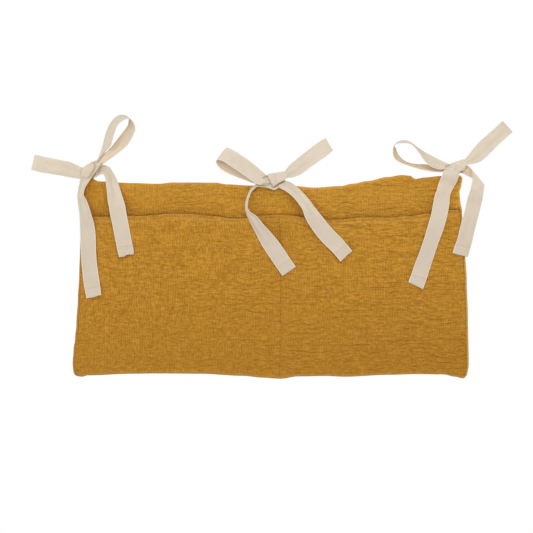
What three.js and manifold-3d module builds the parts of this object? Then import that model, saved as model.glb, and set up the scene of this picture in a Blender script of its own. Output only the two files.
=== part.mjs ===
// A hanging bedside caddy in crinkled double gauze: a lined back panel, a pocket panel sewn to it at
// both sides, along the bottom and down a divider seam, and three lengths of cotton tape that are
// folded in half, caught in the top seam and tied in bows.
// Lengths are in millimetres. X runs across the caddy, Z is up, and -Y faces whoever fills the pockets.
// The origin lies on the back of the lining, halfway across, at the height of the tied top edge.
import * as THREE from "three";
import { mergeVertices } from "three/addons/utils/BufferGeometryUtils.js";
import Module from "manifold-3d";

const wasm = await Module();
wasm.setup();

// Cloth panels
const panelWidth = 500; // finished width along the bottom edge
const panelHeight = 246; // from the tied top edge to the bottom edge
const gauzeThickness = 1; // one layer of double gauze, crinkles pressed flat
const layerGap = 0.4; // air left between two layers that touch
const sideDrawIn = 11; // how far the ties draw a side edge in at the top
const topWave = 8.3; // height of the slow wave in the top edge
const bottomWave = 4.2; // height of the wave in the bottom edge
const topSway = 4; // how far the top edge leans forward between two ties

// Pocket panel
const bandHeight = 43; // the back panel shows above the pocket mouth by this much
const pocketInset = 3.3; // the back panel shows by this much beyond the pocket at each side
const pocketLift = 1.5; // the pocket's bottom edge stays this far above the back panel's
const pocketBelly = 13; // how far the mouth stands open in the middle of each pocket
const pocketThickness = 1.6; // the pocket cloth is folded double at the mouth
const mouthWave = 5; // height of the wave in the pocket mouth
const hemDepth = 3.2; // from the mouth's edge down to its row of stitches
const hemRaise = 0.6; // the folded mouth edge is thicker than the cloth by this much
const dividerShift = 12; // the divider seam lies this far to the right of the middle

// Cotton tape
const tapeWidth = 20;
const tapeThickness = 0.8;
const tapeGap = 0.4; // air between the tape and what it lies on
const tapeHemLength = 12; // turned and stitched at each free end
const seamDepth = 12; // how far the folded tape reaches down into the top seam
const seamMargin = 1.5; // cloth left beside the tape where a tie sits close to a corner

// Knots
const knotLength = 21; // along the wrap's own axis
const knotHeight = 17.5;
const knotThickness = 11; // front to back
const knotPleat = 1; // depth of the grooves between the wrap's folds

// Levels, counted forwards (towards -Y) from the back of the lining
const liningFront = gauzeThickness;
const panelBack = liningFront + layerGap;
const panelFront = panelBack + gauzeThickness;
const pocketBack = panelFront + layerGap;
const mouthHeight = -bandHeight;
const pocketDepth = panelHeight - bandHeight; // from the pocket mouth down to the bottom edge
const tapeStack = 2 * tapeThickness + 2 * tapeGap; // room for the folded tape in the seam
const seamSwell = tapeStack - layerGap;
const knotForward = panelFront + seamSwell + tapeGap + knotThickness / 2; // a knot's middle

// Edge shapes: [share of the way along the edge, share of the wave's height or of the draw-in]
const topEdgeShares = [
  [0, 0.15], [0.03, 0.3], [0.06, -0.18], [0.13, -0.38], [0.2, -0.5], [0.24, -0.3], [0.35, -0.33],
  [0.38, -0.58], [0.44, -0.75], [0.56, -0.84], [0.61, -1.08], [0.68, -0.84], [0.71, -0.49],
  [0.75, -0.08], [0.8, 0.53], [0.84, 0.84], [0.86, 0.75], [0.875, 0.27], [0.9, 0.48], [0.94, 0.7],
  [0.98, 0.78], [1, 0.6],
];
const bottomEdgeShares = [
  [0, -0.06], [0.02, -0.33], [0.035, 0.09], [0.145, 0.58], [0.215, 0.67], [0.32, 0.58],
  [0.43, -0.06], [0.48, -0.61], [0.525, -0.94], [0.57, -0.24], [0.64, -0.1], [0.69, -0.33],
  [0.8, 0.24], [0.87, 0.46], [0.94, 0.37], [0.97, -0.33], [0.99, -0.85], [1, -0.43],
];
const mouthEdgeShares = [
  [0, -0.38], [0.13, -0.15], [0.17, 0.22], [0.24, 0.74], [0.31, 0.3], [0.35, -0.15], [0.39, -0.62],
  [0.42, -0.74], [0.465, -0.2], [0.52, 0.2], [0.57, -0.05], [0.64, -1], [0.7, -1], [0.78, -0.71],
  [0.86, -0.2], [0.92, 0.45], [0.965, 1.24], [1, 1.47],
];
const leftEdgeShares = [
  [0, 1], [0.35, 0.8], [0.5, 0.7], [0.6, 0.56], [0.74, 0.38], [0.81, 0.23], [0.87, 0.05],
  [0.94, -0.05], [1, 0.07],
];
const rightEdgeShares = [
  [0, 0.52], [0.05, 0.74], [0.08, 0.95], [0.12, 0.87], [0.18, 0.63], [0.39, 0.26], [0.52, 0.09],
  [0.71, -0.05], [0.94, -0.14], [1, 0.04],
];

// The bows. A knot's place is a share of half the panel's width across and of topWave up.
// A loop leaves its knot at an angle, reaches and opens by shares of the bow's sizes, and leans
// forward. A roll says how the tape is turned: 0 lies flat to the viewer and 90 stands on edge. A loop
// has one for its front leg, its end and its back leg.
// A tail's route is [across, up, roll] in shares of its drop, from the knot to the hemmed end.
const bowReach = 75; // from a knot to the end of a full loop
const loopOpening = 17; // half the way across a loop that stands open
const leftOuterDrop = 160;
const leftInnerDrop = 107.5;
const centreLeftDrop = 117;
const centreRightDrop = 97;
const rightInnerDrop = 150;
const rightOuterDrop = 111;
const tailLift = 70; // degrees that a tail lifts off the pocket, at most

const ties = [
  {
    name: "left",
    acrossShare: -0.9,
    upShare: 1.5,
    knotTurn: 48,
    loops: [
      { name: "flat_loop", angle: 169, reachShare: 1.02, openShare: 0.22, rolls: [0, 0, 0], lean: 0 },
      { name: "open_loop", angle: 55, reachShare: 1, openShare: 1, rolls: [52, 58, 54], lean: 11 },
    ],
    tails: [
      {
        name: "outer_tail",
        drop: leftOuterDrop,
        routeShares: [
          [-0.02, -0.02, 30], [-0.065, -0.06, 30], [-0.085, -0.11, 30], [-0.093, -0.19, 32],
          [-0.078, -0.27, 30], [-0.055, -0.36, 20], [-0.034, -0.52, 12], [-0.026, -0.7, 6],
          [-0.012, -0.87, 0], [0.014, -1, 0],
        ],
      },
      {
        name: "inner_tail",
        drop: leftInnerDrop,
        routeShares: [
          [0.05, -0.02, 40], [0.1, 0.005, 45], [0.165, 0.006, 45], [0.212, -0.082, 42],
          [0.24, -0.19, 36], [0.27, -0.34, 12], [0.315, -0.565, 0], [0.365, -0.8, 0],
          [0.4, -1, 0],
        ],
      },
    ],
  },
  {
    name: "centre",
    acrossShare: 0.022,
    upShare: 0.15,
    knotTurn: 20,
    loops: [
      { name: "open_loop", angle: 153, reachShare: 0.89, openShare: 0.5, rolls: [18, 20, 18], lean: 5 },
      { name: "flat_loop", angle: 35, reachShare: 0.93, openShare: 0.22, rolls: [0, 0, 0], lean: 0 },
    ],
    tails: [
      {
        name: "left_tail",
        drop: centreLeftDrop,
        routeShares: [
          [-0.05, -0.03, 40], [-0.15, -0.06, 58], [-0.24, -0.115, 70], [-0.3, -0.2, 76],
          [-0.305, -0.29, 78], [-0.295, -0.35, 74], [-0.245, -0.43, 56], [-0.13, -0.61, 36],
          [0, -0.79, 20], [0.158, -1, 12],
        ],
      },
      {
        name: "right_tail",
        drop: centreRightDrop,
        routeShares: [
          [0.07, -0.04, 30], [0.145, -0.08, 46], [0.25, -0.13, 52], [0.355, -0.255, 52],
          [0.46, -0.4, 46], [0.54, -0.53, 28], [0.69, -0.725, 20], [0.83, -0.885, 14],
          [0.935, -1, 12],
        ],
      },
    ],
  },
  {
    name: "right",
    acrossShare: 0.947,
    upShare: 1.95,
    knotTurn: 18,
    loops: [
      { name: "open_loop", angle: 162, reachShare: 1.04, openShare: 0.75, rolls: [42, 76, 66], lean: 6 },
      { name: "flat_loop", angle: 42, reachShare: 0.98, openShare: 0.22, rolls: [0, 0, 0], lean: 0 },
    ],
    tails: [
      {
        name: "inner_tail",
        drop: rightInnerDrop,
        routeShares: [
          [-0.025, -0.015, 6], [-0.05, -0.06, 10], [-0.08, -0.135, 4], [-0.108, -0.2, 24],
          [-0.13, -0.285, 14], [-0.157, -0.39, 6], [-0.207, -0.575, 4], [-0.27, -0.76, 6],
          [-0.33, -0.93, 4], [-0.35, -1, 0],
        ],
      },
      {
        name: "outer_tail",
        drop: rightOuterDrop,
        routeShares: [
          [0.08, -0.02, 50], [0.145, -0.05, 50], [0.195, -0.09, 50], [0.222, -0.16, 44],
          [0.225, -0.25, 32], [0.2, -0.38, 16], [0.155, -0.54, 6], [0.105, -0.73, 4],
          [0.035, -1, 0],
        ],
      },
    ],
  },
];

// Facets
const panelColumns = 38;
const pocketColumns = 42;
const panelRowShares = [0, 0.03, 0.06, 0.1, 0.16, 0.24, 0.36, 0.5, 0.66, 0.82, 0.92, 1];
const pocketRowShares = [0, hemDepth / pocketDepth, 0.03, 0.16, 0.28, 0.4, 0.52, 0.64, 0.76, 0.88, 1];
const loopSteps = 36;
const tailSteps = 30;
const tabSteps = 14;
const liftSteps = 8;

const inward = new THREE.Vector3(0, 1, 0); // away from the viewer

const smooth = (t) => {
  const c = THREE.MathUtils.clamp(t, 0, 1);
  return c * c * (3 - 2 * c);
};

// The value of a table of [place, value] pairs at a place, eased from each pair to the next.
function readShares(pairs, place) {
  const next = pairs.findIndex(([at]) => at >= place);
  if (next === 0) return pairs[0][1];
  if (next < 0) return pairs[pairs.length - 1][1];
  const [a, before] = pairs[next - 1];
  const [b, after] = pairs[next];
  return THREE.MathUtils.lerp(before, after, smooth((place - a) / (b - a)));
}

const knotPlace = (tie) => new THREE.Vector3(
  tie.acrossShare * panelWidth / 2,
  -knotForward,
  tie.upShare * topWave,
);

// Outline of the back panel and of its lining.
function panelOutline(u, v) {
  const left = -panelWidth / 2 + sideDrawIn * readShares(leftEdgeShares, v);
  const right = panelWidth / 2 - sideDrawIn * readShares(rightEdgeShares, v);
  const top = topWave * readShares(topEdgeShares, u);
  const bottom = -panelHeight + bottomWave * readShares(bottomEdgeShares, u);
  return { x: THREE.MathUtils.lerp(left, right, u), z: THREE.MathUtils.lerp(top, bottom, v) };
}

// How far the cloth of the top band leans forward: nothing at a tie, most halfway between two ties.
function sway(x, z) {
  const places = ties.map((tie) => knotPlace(tie).x);
  const next = places.findIndex((place) => place > x);
  if (next < 1) return 0;
  const across = (x - places[next - 1]) / (places[next] - places[next - 1]);
  return topSway * Math.sin(Math.PI * across) ** 2 * smooth(1 - z / mouthHeight);
}

// The top seam swells over the tape that is caught in it.
function seamSwellAt(x, z) {
  return ties.reduce((most, tie) => {
    const past = (Math.abs(x - knotPlace(tie).x) - 0.8 * tapeWidth) / tapeWidth;
    const below = (-z - 2 * seamDepth) / (2 * seamDepth);
    return Math.max(most, seamSwell * (1 - smooth(past)) * (1 - smooth(below)));
  }, 0);
}

// The open space in a pocket, as a share of the way from a side seam to the divider and down.
function belly(x, z) {
  const side = panelWidth / 2 - pocketInset;
  const t = x < dividerShift
    ? (x + side) / (dividerShift + side)
    : (x - dividerShift) / (side - dividerShift);
  const across = 1 - Math.abs(2 * THREE.MathUtils.clamp(t, 0, 1) - 1) ** 2.2;
  const down = THREE.MathUtils.clamp((mouthHeight - z) / pocketDepth, 0, 1);
  return pocketBelly * across * (1 - down ** 2);
}

// Outline of the pocket panel, inside the back panel's outline.
function pocketOutline(u, v) {
  const mouth = mouthHeight + mouthWave * readShares(mouthEdgeShares, u);
  const bottom = -panelHeight + bottomWave * readShares(bottomEdgeShares, u) + pocketLift;
  const z = THREE.MathUtils.lerp(mouth, bottom, v);
  const level = THREE.MathUtils.clamp(-z / panelHeight, 0, 1);
  const left = -panelWidth / 2 + pocketInset + sideDrawIn * readShares(leftEdgeShares, level);
  const right = panelWidth / 2 - pocketInset - sideDrawIn * readShares(rightEdgeShares, level);
  return { x: THREE.MathUtils.lerp(left, right, u), z };
}

// The level of the cloth that a tape lies on: the pocket's front below the mouth, and above it a
// slope that runs up to the back panel at the top edge.
function clothLevel(x, z) {
  const pocketFront = pocketBack + belly(x, Math.min(z, mouthHeight)) + pocketThickness + hemRaise;
  const panel = panelFront + Math.max(sway(x, Math.min(z, 0)), seamSwellAt(x, Math.min(z, 0)));
  return THREE.MathUtils.lerp(panel, pocketFront, smooth(1.2 * z / mouthHeight));
}

// A closed sheet: at(u, v) gives its front and back point, v runs down or along it, and the front
// faces the way that v crossed with u points.
function sheetGeometry(columnShares, rowShares, at) {
  const points = [];
  const wide = columnShares.length;
  for (const side of [0, 1])
    for (const v of rowShares)
      for (const u of columnShares) points.push(at(u, v)[side]);
  const back = wide * rowShares.length;
  const faces = [];
  const quad = (a, b, c, d) => faces.push(a, b, c, a, c, d);
  const rim = [];
  for (let j = 0; j + 1 < rowShares.length; j++)
    for (let i = 0; i + 1 < wide; i++) {
      const a = j * wide + i;
      quad(a, a + wide, a + wide + 1, a + 1);
      quad(back + a, back + a + 1, back + a + wide + 1, back + a + wide);
    }
  for (let j = 0; j + 1 < rowShares.length; j++) rim.push(j * wide);
  for (let i = 0; i + 1 < wide; i++) rim.push(back - wide + i);
  for (let j = rowShares.length - 1; j > 0; j--) rim.push(j * wide + wide - 1);
  for (let i = wide - 1; i > 0; i--) rim.push(i);
  rim.forEach((p, i) => {
    const q = rim[(i + 1) % rim.length];
    quad(p, back + p, back + q, q);
  });
  return new THREE.BufferGeometry().setFromPoints(points).setIndex(faces);
}

const evenShares = (count) => Array.from({ length: count + 1 }, (_, i) => i / count);

// A panel of cloth from its outline and the levels of its front and back.
function clothPanel(columns, rowShares, outline, front, back) {
  return sheetGeometry(evenShares(columns), rowShares, (u, v) => {
    const { x, z } = outline(u, v);
    return [new THREE.Vector3(x, -front(x, z, v), z), new THREE.Vector3(x, -back(x, z, v), z)];
  });
}

function liningGeometry() {
  return clothPanel(
    panelColumns,
    panelRowShares,
    panelOutline,
    (x, z) => liningFront + sway(x, z),
    (x, z) => sway(x, z),
  );
}

function backPanelGeometry() {
  const forward = (x, z) => sway(x, z) + seamSwellAt(x, z);
  return clothPanel(
    panelColumns,
    panelRowShares,
    panelOutline,
    (x, z) => panelFront + forward(x, z),
    (x, z) => panelBack + forward(x, z),
  );
}

function pocketGeometry() {
  const folded = 1.5 * hemDepth / pocketDepth;
  const front = (x, z, v) => (
    pocketBack + belly(x, z) + pocketThickness + (v < folded ? hemRaise : 0)
  );
  return clothPanel(
    pocketColumns, pocketRowShares, pocketOutline, front, (x, z) => pocketBack + belly(x, z),
  );
}

// A length of tape: place(v) gives its middle, and across(v) the direction of its width.
function tapeGeometry(steps, place, across, widthAt, thicknessAt) {
  const step = 0.25 / steps;
  return sheetGeometry(evenShares(2), evenShares(steps), (u, v) => {
    const tangent = place(Math.min(v + step, 1)).sub(place(Math.max(v - step, 0))).normalize();
    const width = across(v);
    width.addScaledVector(tangent, -width.dot(tangent)).normalize();
    const normal = tangent.clone().cross(width);
    const middle = place(v).addScaledVector(width, (u - 0.5) * widthAt(v));
    const half = thicknessAt(v) / 2;
    return [middle.clone().addScaledVector(normal, half), middle.addScaledVector(normal, -half)];
  });
}

// The tape gathers where it runs into the knot, and has its full width a tape's width away.
const gathered = (distance) => tapeWidth * (0.5 + 0.5 * smooth(distance / tapeWidth));

// The pieces of a bow are made about the middle of their knot.
// A loop is half a figure of eight that starts and ends in the knot.
function loopGeometry(loop) {
  const angle = THREE.MathUtils.degToRad(loop.angle);
  const lean = THREE.MathUtils.degToRad(loop.lean);
  const reach = loop.reachShare * bowReach;
  const out = new THREE.Vector3(Math.cos(angle), -Math.tan(lean), Math.sin(angle));
  const beside = new THREE.Vector3(-Math.sin(angle), 0, Math.cos(angle));
  const rollAt = (v) => {
    const [front, end, back] = loop.rolls;
    const roll = v < 0.5
      ? THREE.MathUtils.lerp(front, end, smooth(2 * v))
      : THREE.MathUtils.lerp(end, back, smooth(2 * v - 1));
    return THREE.MathUtils.degToRad(roll);
  };
  const turnAt = (v) => Math.PI * (v - 0.5);
  const place = (v) => {
    const opened = loop.openShare * loopOpening * Math.sin(2 * turnAt(v));
    return new THREE.Vector3()
      .addScaledVector(out, reach * Math.cos(turnAt(v)))
      .addScaledVector(beside, opened * Math.sin(rollAt(v)))
      .addScaledVector(inward, opened * Math.cos(rollAt(v)));
  };
  const across = (v) => inward.clone().multiplyScalar(Math.sin(rollAt(v)))
    .addScaledVector(beside, -Math.cos(rollAt(v)));
  const widthAt = (v) => gathered(reach * Math.cos(turnAt(v)) - knotLength / 2);
  return tapeGeometry(loopSteps, place, across, widthAt, () => tapeThickness);
}

// A tail runs from the knot over the cloth below it and ends in a turned hem.
function tailGeometry(tie, tail) {
  const knot = knotPlace(tie);
  const route = new THREE.CatmullRomCurve3(
    tail.routeShares.map(([x, z]) => new THREE.Vector3(x, 0, z).multiplyScalar(tail.drop)),
    false,
    "centripetal",
  );
  const stations = tail.routeShares.length - 1;
  const rollAt = (v) => THREE.MathUtils.degToRad(
    readShares(tail.routeShares.map(([, , roll], i) => [i / stations, roll]), v),
  );
  const awayFromKnot = (v) => route.getPoint(v).length() - knotHeight / 2;
  const across = (v) => {
    const tangent = route.getTangent(v);
    const flat = new THREE.Vector3(-tangent.z, 0, tangent.x);
    return flat.multiplyScalar(Math.cos(rollAt(v))).addScaledVector(inward, Math.sin(rollAt(v)));
  };
  const widthAt = (v) => gathered(awayFromKnot(v));
  const restingLevel = (v) => {
    const under = [-0.5, -0.25, 0, 0.25, 0.5].map((share) => {
      const p = route.getPoint(v).addScaledVector(across(v), share * widthAt(v)).add(knot);
      return clothLevel(p.x, p.z);
    });
    const standing = widthAt(v) / 2 * Math.sin(rollAt(v));
    return Math.max(...under) + standing + tapeGap + tapeThickness;
  };
  const place = (v) => {
    const atKnot = knotForward - knotThickness / 4;
    const resting = restingLevel(v);
    const forward = THREE.MathUtils.lerp(atKnot, resting, smooth(awayFromKnot(v) / tapeWidth));
    return route.getPoint(v).setY(knotForward - Math.max(forward, resting));
  };
  const hemStart = 1 - tapeHemLength / route.getLength();
  const thicknessAt = (v) => (v > hemStart ? 2 : 1) * tapeThickness;
  return tapeGeometry(tailSteps, place, across, widthAt, thicknessAt);
}

// The folded end of the tape, sewn into the top seam, that carries the knot. Above the panel's edge
// it bends forwards to the knot, and sideways too where the corner has no room for it under the knot.
function seamTabGeometry(tie) {
  const knot = knotPlace(tie);
  const edge = Math.max(...[-0.5, 0, 0.5].map((share) => (
    panelOutline((knot.x + share * tapeWidth) / panelWidth + 0.5, 0).z
  )));
  const inSeam = knotForward - liningFront - tapeStack / 2;
  const lowest = 1.5 * seamDepth / panelHeight;
  const beside = tapeWidth / 2 + seamMargin;
  const sewnAt = THREE.MathUtils.clamp(
    knot.x, panelOutline(0, lowest).x + beside, panelOutline(1, lowest).x - beside,
  ) - knot.x;
  const rise = Math.max(knot.z - edge, knotHeight / 2);
  const place = (v) => {
    const z = -(1 - v) * (knot.z + seamDepth);
    const bend = smooth((z + knot.z - edge) / rise);
    return new THREE.Vector3(sewnAt * (1 - bend), inSeam * (1 - bend), z);
  };
  const widthAt = (v) => gathered(-place(v).z - knotHeight / 2);
  return tapeGeometry(tabSteps, place, () => new THREE.Vector3(-1, 0, 0), widthAt, () => 2 * tapeThickness);
}

// The wrap of a knot: a barrel with folds, flattened from front to back. Extra grows it all round.
function knotGeometry(tie, extra = 0) {
  const half = knotLength / 2 + extra;
  const radius = knotHeight / 2 + extra;
  const ends = [[0, -half], [0.55 * radius, -half], [0.85 * radius, -0.82 * half]];
  const folds = evenShares(6).map((share, i) => [
    radius - (i % 2 ? knotPleat : 0), (share - 0.5) * 1.3 * half,
  ]);
  const profile = [...ends, ...folds, ...ends.map(([r, along]) => [r, -along]).reverse()];
  const wrap = new THREE.LatheGeometry(profile.map(([r, along]) => new THREE.Vector2(r, along)), 18);
  const flatten = (knotThickness / 2 + extra) / radius;
  const turn = THREE.MathUtils.degToRad(tie.knotTurn);
  return wrap.rotateZ(-Math.PI / 2).scale(1, flatten, 1).rotateY(-turn);
}

function solidOf(geometry) {
  const bare = new THREE.BufferGeometry()
    .setAttribute("position", geometry.getAttribute("position"))
    .setIndex(geometry.getIndex());
  const merged = mergeVertices(bare, 1e-3);
  return new wasm.Manifold(new wasm.Mesh({
    numProp: 3,
    vertProperties: merged.attributes.position.array,
    triVerts: new Uint32Array(merged.index.array),
  }));
}

// What is left of a piece outside the tools.
function cutBy(geometry, ...tools) {
  const rest = tools.reduce((piece, tool) => piece.subtract(solidOf(tool)), solidOf(geometry));
  const bodies = rest.decompose();
  bodies.sort((a, b) => b.volume() - a.volume());
  const mesh = bodies[0].getMesh();
  return new THREE.BufferGeometry()
    .setAttribute("position", new THREE.BufferAttribute(mesh.vertProperties, 3))
    .setIndex(new THREE.BufferAttribute(mesh.triVerts, 1));
}

// The room that a knot takes beside a tail while the tail lifts about the knot's middle.
function sweptKnot(tie) {
  return evenShares(liftSteps).map((share) => (
    knotGeometry(tie, tapeGap).rotateX(THREE.MathUtils.degToRad(share * tailLift))
  ));
}

const gauze = new THREE.MeshStandardMaterial({ color: 0xbd882f, roughness: 0.95, metalness: 0 });
const lining = new THREE.MeshStandardMaterial({ color: 0xb98530, roughness: 0.95, metalness: 0 });
const cotton = new THREE.MeshStandardMaterial({ color: 0xe2d4be, roughness: 0.9, metalness: 0 });

const caddy = new THREE.Group();

function addPiece(name, geometry, material, parent = caddy) {
  const mesh = new THREE.Mesh(geometry, material);
  mesh.name = name;
  parent.add(mesh);
}

addPiece("back_lining", liningGeometry(), lining);
addPiece("back_panel", backPanelGeometry(), gauze);
addPiece("pocket_panel", pocketGeometry(), gauze);

for (const tie of ties) {
  const bow = new THREE.Group();
  bow.position.copy(knotPlace(tie));
  const clear = knotGeometry(tie, tapeGap);
  addPiece(`${tie.name}_knot`, knotGeometry(tie), cotton, bow);
  addPiece(`${tie.name}_seam_tab`, cutBy(seamTabGeometry(tie), clear), cotton, bow);
  for (const loop of tie.loops)
    addPiece(`${tie.name}_${loop.name}`, cutBy(loopGeometry(loop), clear), cotton, bow);
  for (const tail of tie.tails)
    addPiece(`${tie.name}_${tail.name}`, cutBy(tailGeometry(tie, tail), ...sweptKnot(tie)), cotton, bow);
  caddy.add(bow);
}

export default caddy;
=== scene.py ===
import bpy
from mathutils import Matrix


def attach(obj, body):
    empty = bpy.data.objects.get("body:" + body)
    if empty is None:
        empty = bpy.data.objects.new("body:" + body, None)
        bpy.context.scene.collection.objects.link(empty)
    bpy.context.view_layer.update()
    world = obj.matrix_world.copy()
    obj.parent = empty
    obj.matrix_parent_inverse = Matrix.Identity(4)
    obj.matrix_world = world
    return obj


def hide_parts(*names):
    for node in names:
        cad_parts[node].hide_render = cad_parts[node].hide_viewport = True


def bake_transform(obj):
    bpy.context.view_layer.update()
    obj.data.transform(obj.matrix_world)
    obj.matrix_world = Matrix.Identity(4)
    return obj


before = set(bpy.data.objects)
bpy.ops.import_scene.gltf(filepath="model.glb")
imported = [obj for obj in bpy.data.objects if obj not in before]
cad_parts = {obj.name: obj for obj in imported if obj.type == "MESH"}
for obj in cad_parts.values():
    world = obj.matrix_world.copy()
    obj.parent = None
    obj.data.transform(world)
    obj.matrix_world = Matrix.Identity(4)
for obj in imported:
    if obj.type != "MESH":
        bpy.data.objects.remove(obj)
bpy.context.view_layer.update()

import math

import bmesh
import bpy
import numpy as np
from mathutils import Vector

mm = 0.001

# The caddy is seen straight on, and the cloth lies in the picture's plane.
cameraValues = {
    "lens": 120,          # mm, on a sensor this wide
    "sensor": 36,
    "clip": (0.05, 30),
    "frameWidth": 0.676,  # metres across the picture, at the cloth
    "across": -0.0053,
    "up": -0.1084,
    "clothForward": 0.006,
}

distance = cameraValues["frameWidth"] * cameraValues["lens"] / cameraValues["sensor"]
cameraData = bpy.data.cameras.new("pictureCamera")
cameraData.lens = cameraValues["lens"]
cameraData.sensor_width = cameraValues["sensor"]
cameraData.clip_start, cameraData.clip_end = cameraValues["clip"]
camera = bpy.data.objects.new("pictureCamera", cameraData)
camera.location = (cameraValues["across"], -distance - cameraValues["clothForward"], cameraValues["up"])
camera.rotation_euler = (math.pi / 2, 0, 0)
bpy.context.scene.collection.objects.link(camera)
bpy.context.scene.camera = camera

scene = bpy.context.scene
scene.view_settings.view_transform = "Standard"


# A shader socket that Python's operators work on.
class Sock:
    def __init__(self, tree, socket):
        self.tree = tree
        self.socket = socket

    def maths(self, operation, other=None, swap=False):
        node = self.tree.nodes.new("ShaderNodeMath")
        node.operation = operation
        values = [other, self] if swap else [self, other]
        for slot, value in zip(node.inputs, values):
            plug(self.tree, slot, value)
        return Sock(self.tree, node.outputs[0])

    def __add__(self, other):
        return self.maths("ADD", other)

    def __radd__(self, other):
        return self.maths("ADD", other, True)

    def __sub__(self, other):
        return self.maths("SUBTRACT", other)

    def __rsub__(self, other):
        return self.maths("SUBTRACT", other, True)

    def __mul__(self, other):
        return self.maths("MULTIPLY", other)

    def __rmul__(self, other):
        return self.maths("MULTIPLY", other, True)

    def __truediv__(self, other):
        return self.maths("DIVIDE", other)

    def __abs__(self):
        return self.maths("ABSOLUTE")


def plug(tree, slot, value):
    if value is None:
        return
    if isinstance(value, Sock):
        tree.links.new(value.socket, slot)
    elif isinstance(value, (int, float)):
        slot.default_value = value
    else:
        slot.default_value = tuple(value)


def lerpSock(first, second, share):
    return first + (second - first) * share


# A material being written: node() adds any node, and the rest are short forms of it.
class Shader:
    def __init__(self, name):
        self.material = bpy.data.materials.new(name)
        self.material.use_nodes = True
        self.tree = self.material.node_tree
        self.tree.nodes.clear()
        self.out = self.tree.nodes.new("ShaderNodeOutputMaterial")

    def node(self, kind, settings=None, sockets=None, output=0):
        node = self.tree.nodes.new(kind)
        for name, value in (settings or {}).items():
            setattr(node, name, value)
        for name, value in (sockets or {}).items():
            plug(self.tree, node.inputs[name], value)
        return Sock(self.tree, node.outputs[output])

    def attribute(self, name):
        return self.node("ShaderNodeAttribute", {"attribute_name": name}, None, "Fac")

    def axis(self, point, letter):
        return self.node("ShaderNodeSeparateXYZ", None, {0: point}, letter)

    # Bands across one axis that the distortion makes wander.
    def bands(self, point, letter, scale, distortion, detail):
        return self.node("ShaderNodeTexWave",
                         {"wave_type": "BANDS", "bands_direction": letter, "wave_profile": "SIN"},
                         {"Vector": point, "Scale": scale, "Distortion": distortion, "Detail": 1.0,
                          "Detail Scale": detail}, "Fac")

    # 0 below the low value, 1 above the high one and even between them.
    def ramp(self, value, low, high):
        return self.node("ShaderNodeMapRange", {"clamp": True}, {0: value, 1: low, 2: high, 3: 0.0, 4: 1.0})

    def noise(self, point, stretch, offset, detail=1.0):
        mapped = self.node("ShaderNodeMapping", None, {
            "Vector": point, "Location": offset, "Scale": stretch})
        return self.node("ShaderNodeTexNoise", None, {"Vector": mapped, "Scale": 1.0, "Detail": detail})

    def mix(self, share, first, second):
        node = self.tree.nodes.new("ShaderNodeMix")
        node.data_type = "RGBA"
        plug(self.tree, node.inputs[0], share)
        plug(self.tree, node.inputs[6], first)
        plug(self.tree, node.inputs[7], second)
        return Sock(self.tree, node.outputs[2])

    def surface(self, **sockets):
        shader = self.node("ShaderNodeBsdfPrincipled", None, {
            name.replace("_", " "): value for name, value in sockets.items()})
        self.tree.links.new(shader.socket, self.out.inputs["Surface"])
        return self.material


# An sRGB colour, 0 to 255, as the linear colour that a shader takes.
def tint(red, green, blue):
    def linear(value):
        share = value / 255
        return share / 12.92 if share <= 0.04045 else ((share + 0.055) / 1.055) ** 2.4
    return (linear(red), linear(green), linear(blue), 1.0)


lightValues = {
    "sky": 0.79,
    "keyStrength": 0.48,
    "keySoftness": 34,       # degrees across
    "keyTurn": (60, 0, 14),  # leans down from above, a little from the right
    "fillStrength": 0.6,
    "fillSoftness": 60,
    "fillTurn": (84, 0, -25),
    "floorHalf": 1.7,        # metres
    "floorDrop": 0.75,
    "floorPale": 0.72,       # how far the floor goes towards plain white where the camera sees it
    "floorFade": (0.35, 1.2),   # from here to here it gets all white, m from its middle
}

world = bpy.data.worlds.new("studio")
scene.world = world
world.use_nodes = True
sky = world.node_tree
sky.nodes.clear()
rays = sky.nodes.new("ShaderNodeLightPath")
plain = sky.nodes.new("ShaderNodeBackground")
plain.inputs["Color"].default_value = (1, 1, 1, 1)
plain.inputs["Strength"].default_value = lightValues["sky"]
white = sky.nodes.new("ShaderNodeBackground")
white.inputs["Color"].default_value = (1, 1, 1, 1)
white.inputs["Strength"].default_value = 1
seen = Sock(sky, rays.outputs["Is Camera Ray"]).maths("MAXIMUM", Sock(sky, rays.outputs["Is Glossy Ray"]))
seen = seen.maths("MAXIMUM", Sock(sky, rays.outputs["Is Transmission Ray"]))
either = sky.nodes.new("ShaderNodeMixShader")
skyOut = sky.nodes.new("ShaderNodeOutputWorld")
sky.links.new(seen.socket, either.inputs[0])
sky.links.new(plain.outputs[0], either.inputs[1])
sky.links.new(white.outputs[0], either.inputs[2])
sky.links.new(either.outputs[0], skyOut.inputs["Surface"])


def sunLamp(name, strength, softness, turn):
    data = bpy.data.lights.new(name, "SUN")
    data.energy = strength
    data.angle = math.radians(softness)
    lamp = bpy.data.objects.new(name, data)
    lamp.rotation_euler = [math.radians(angle) for angle in turn]
    scene.collection.objects.link(lamp)


sunLamp("keyLamp", lightValues["keyStrength"], lightValues["keySoftness"], lightValues["keyTurn"])
sunLamp("fillLamp", lightValues["fillStrength"], lightValues["fillSoftness"], lightValues["fillTurn"])

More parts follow.
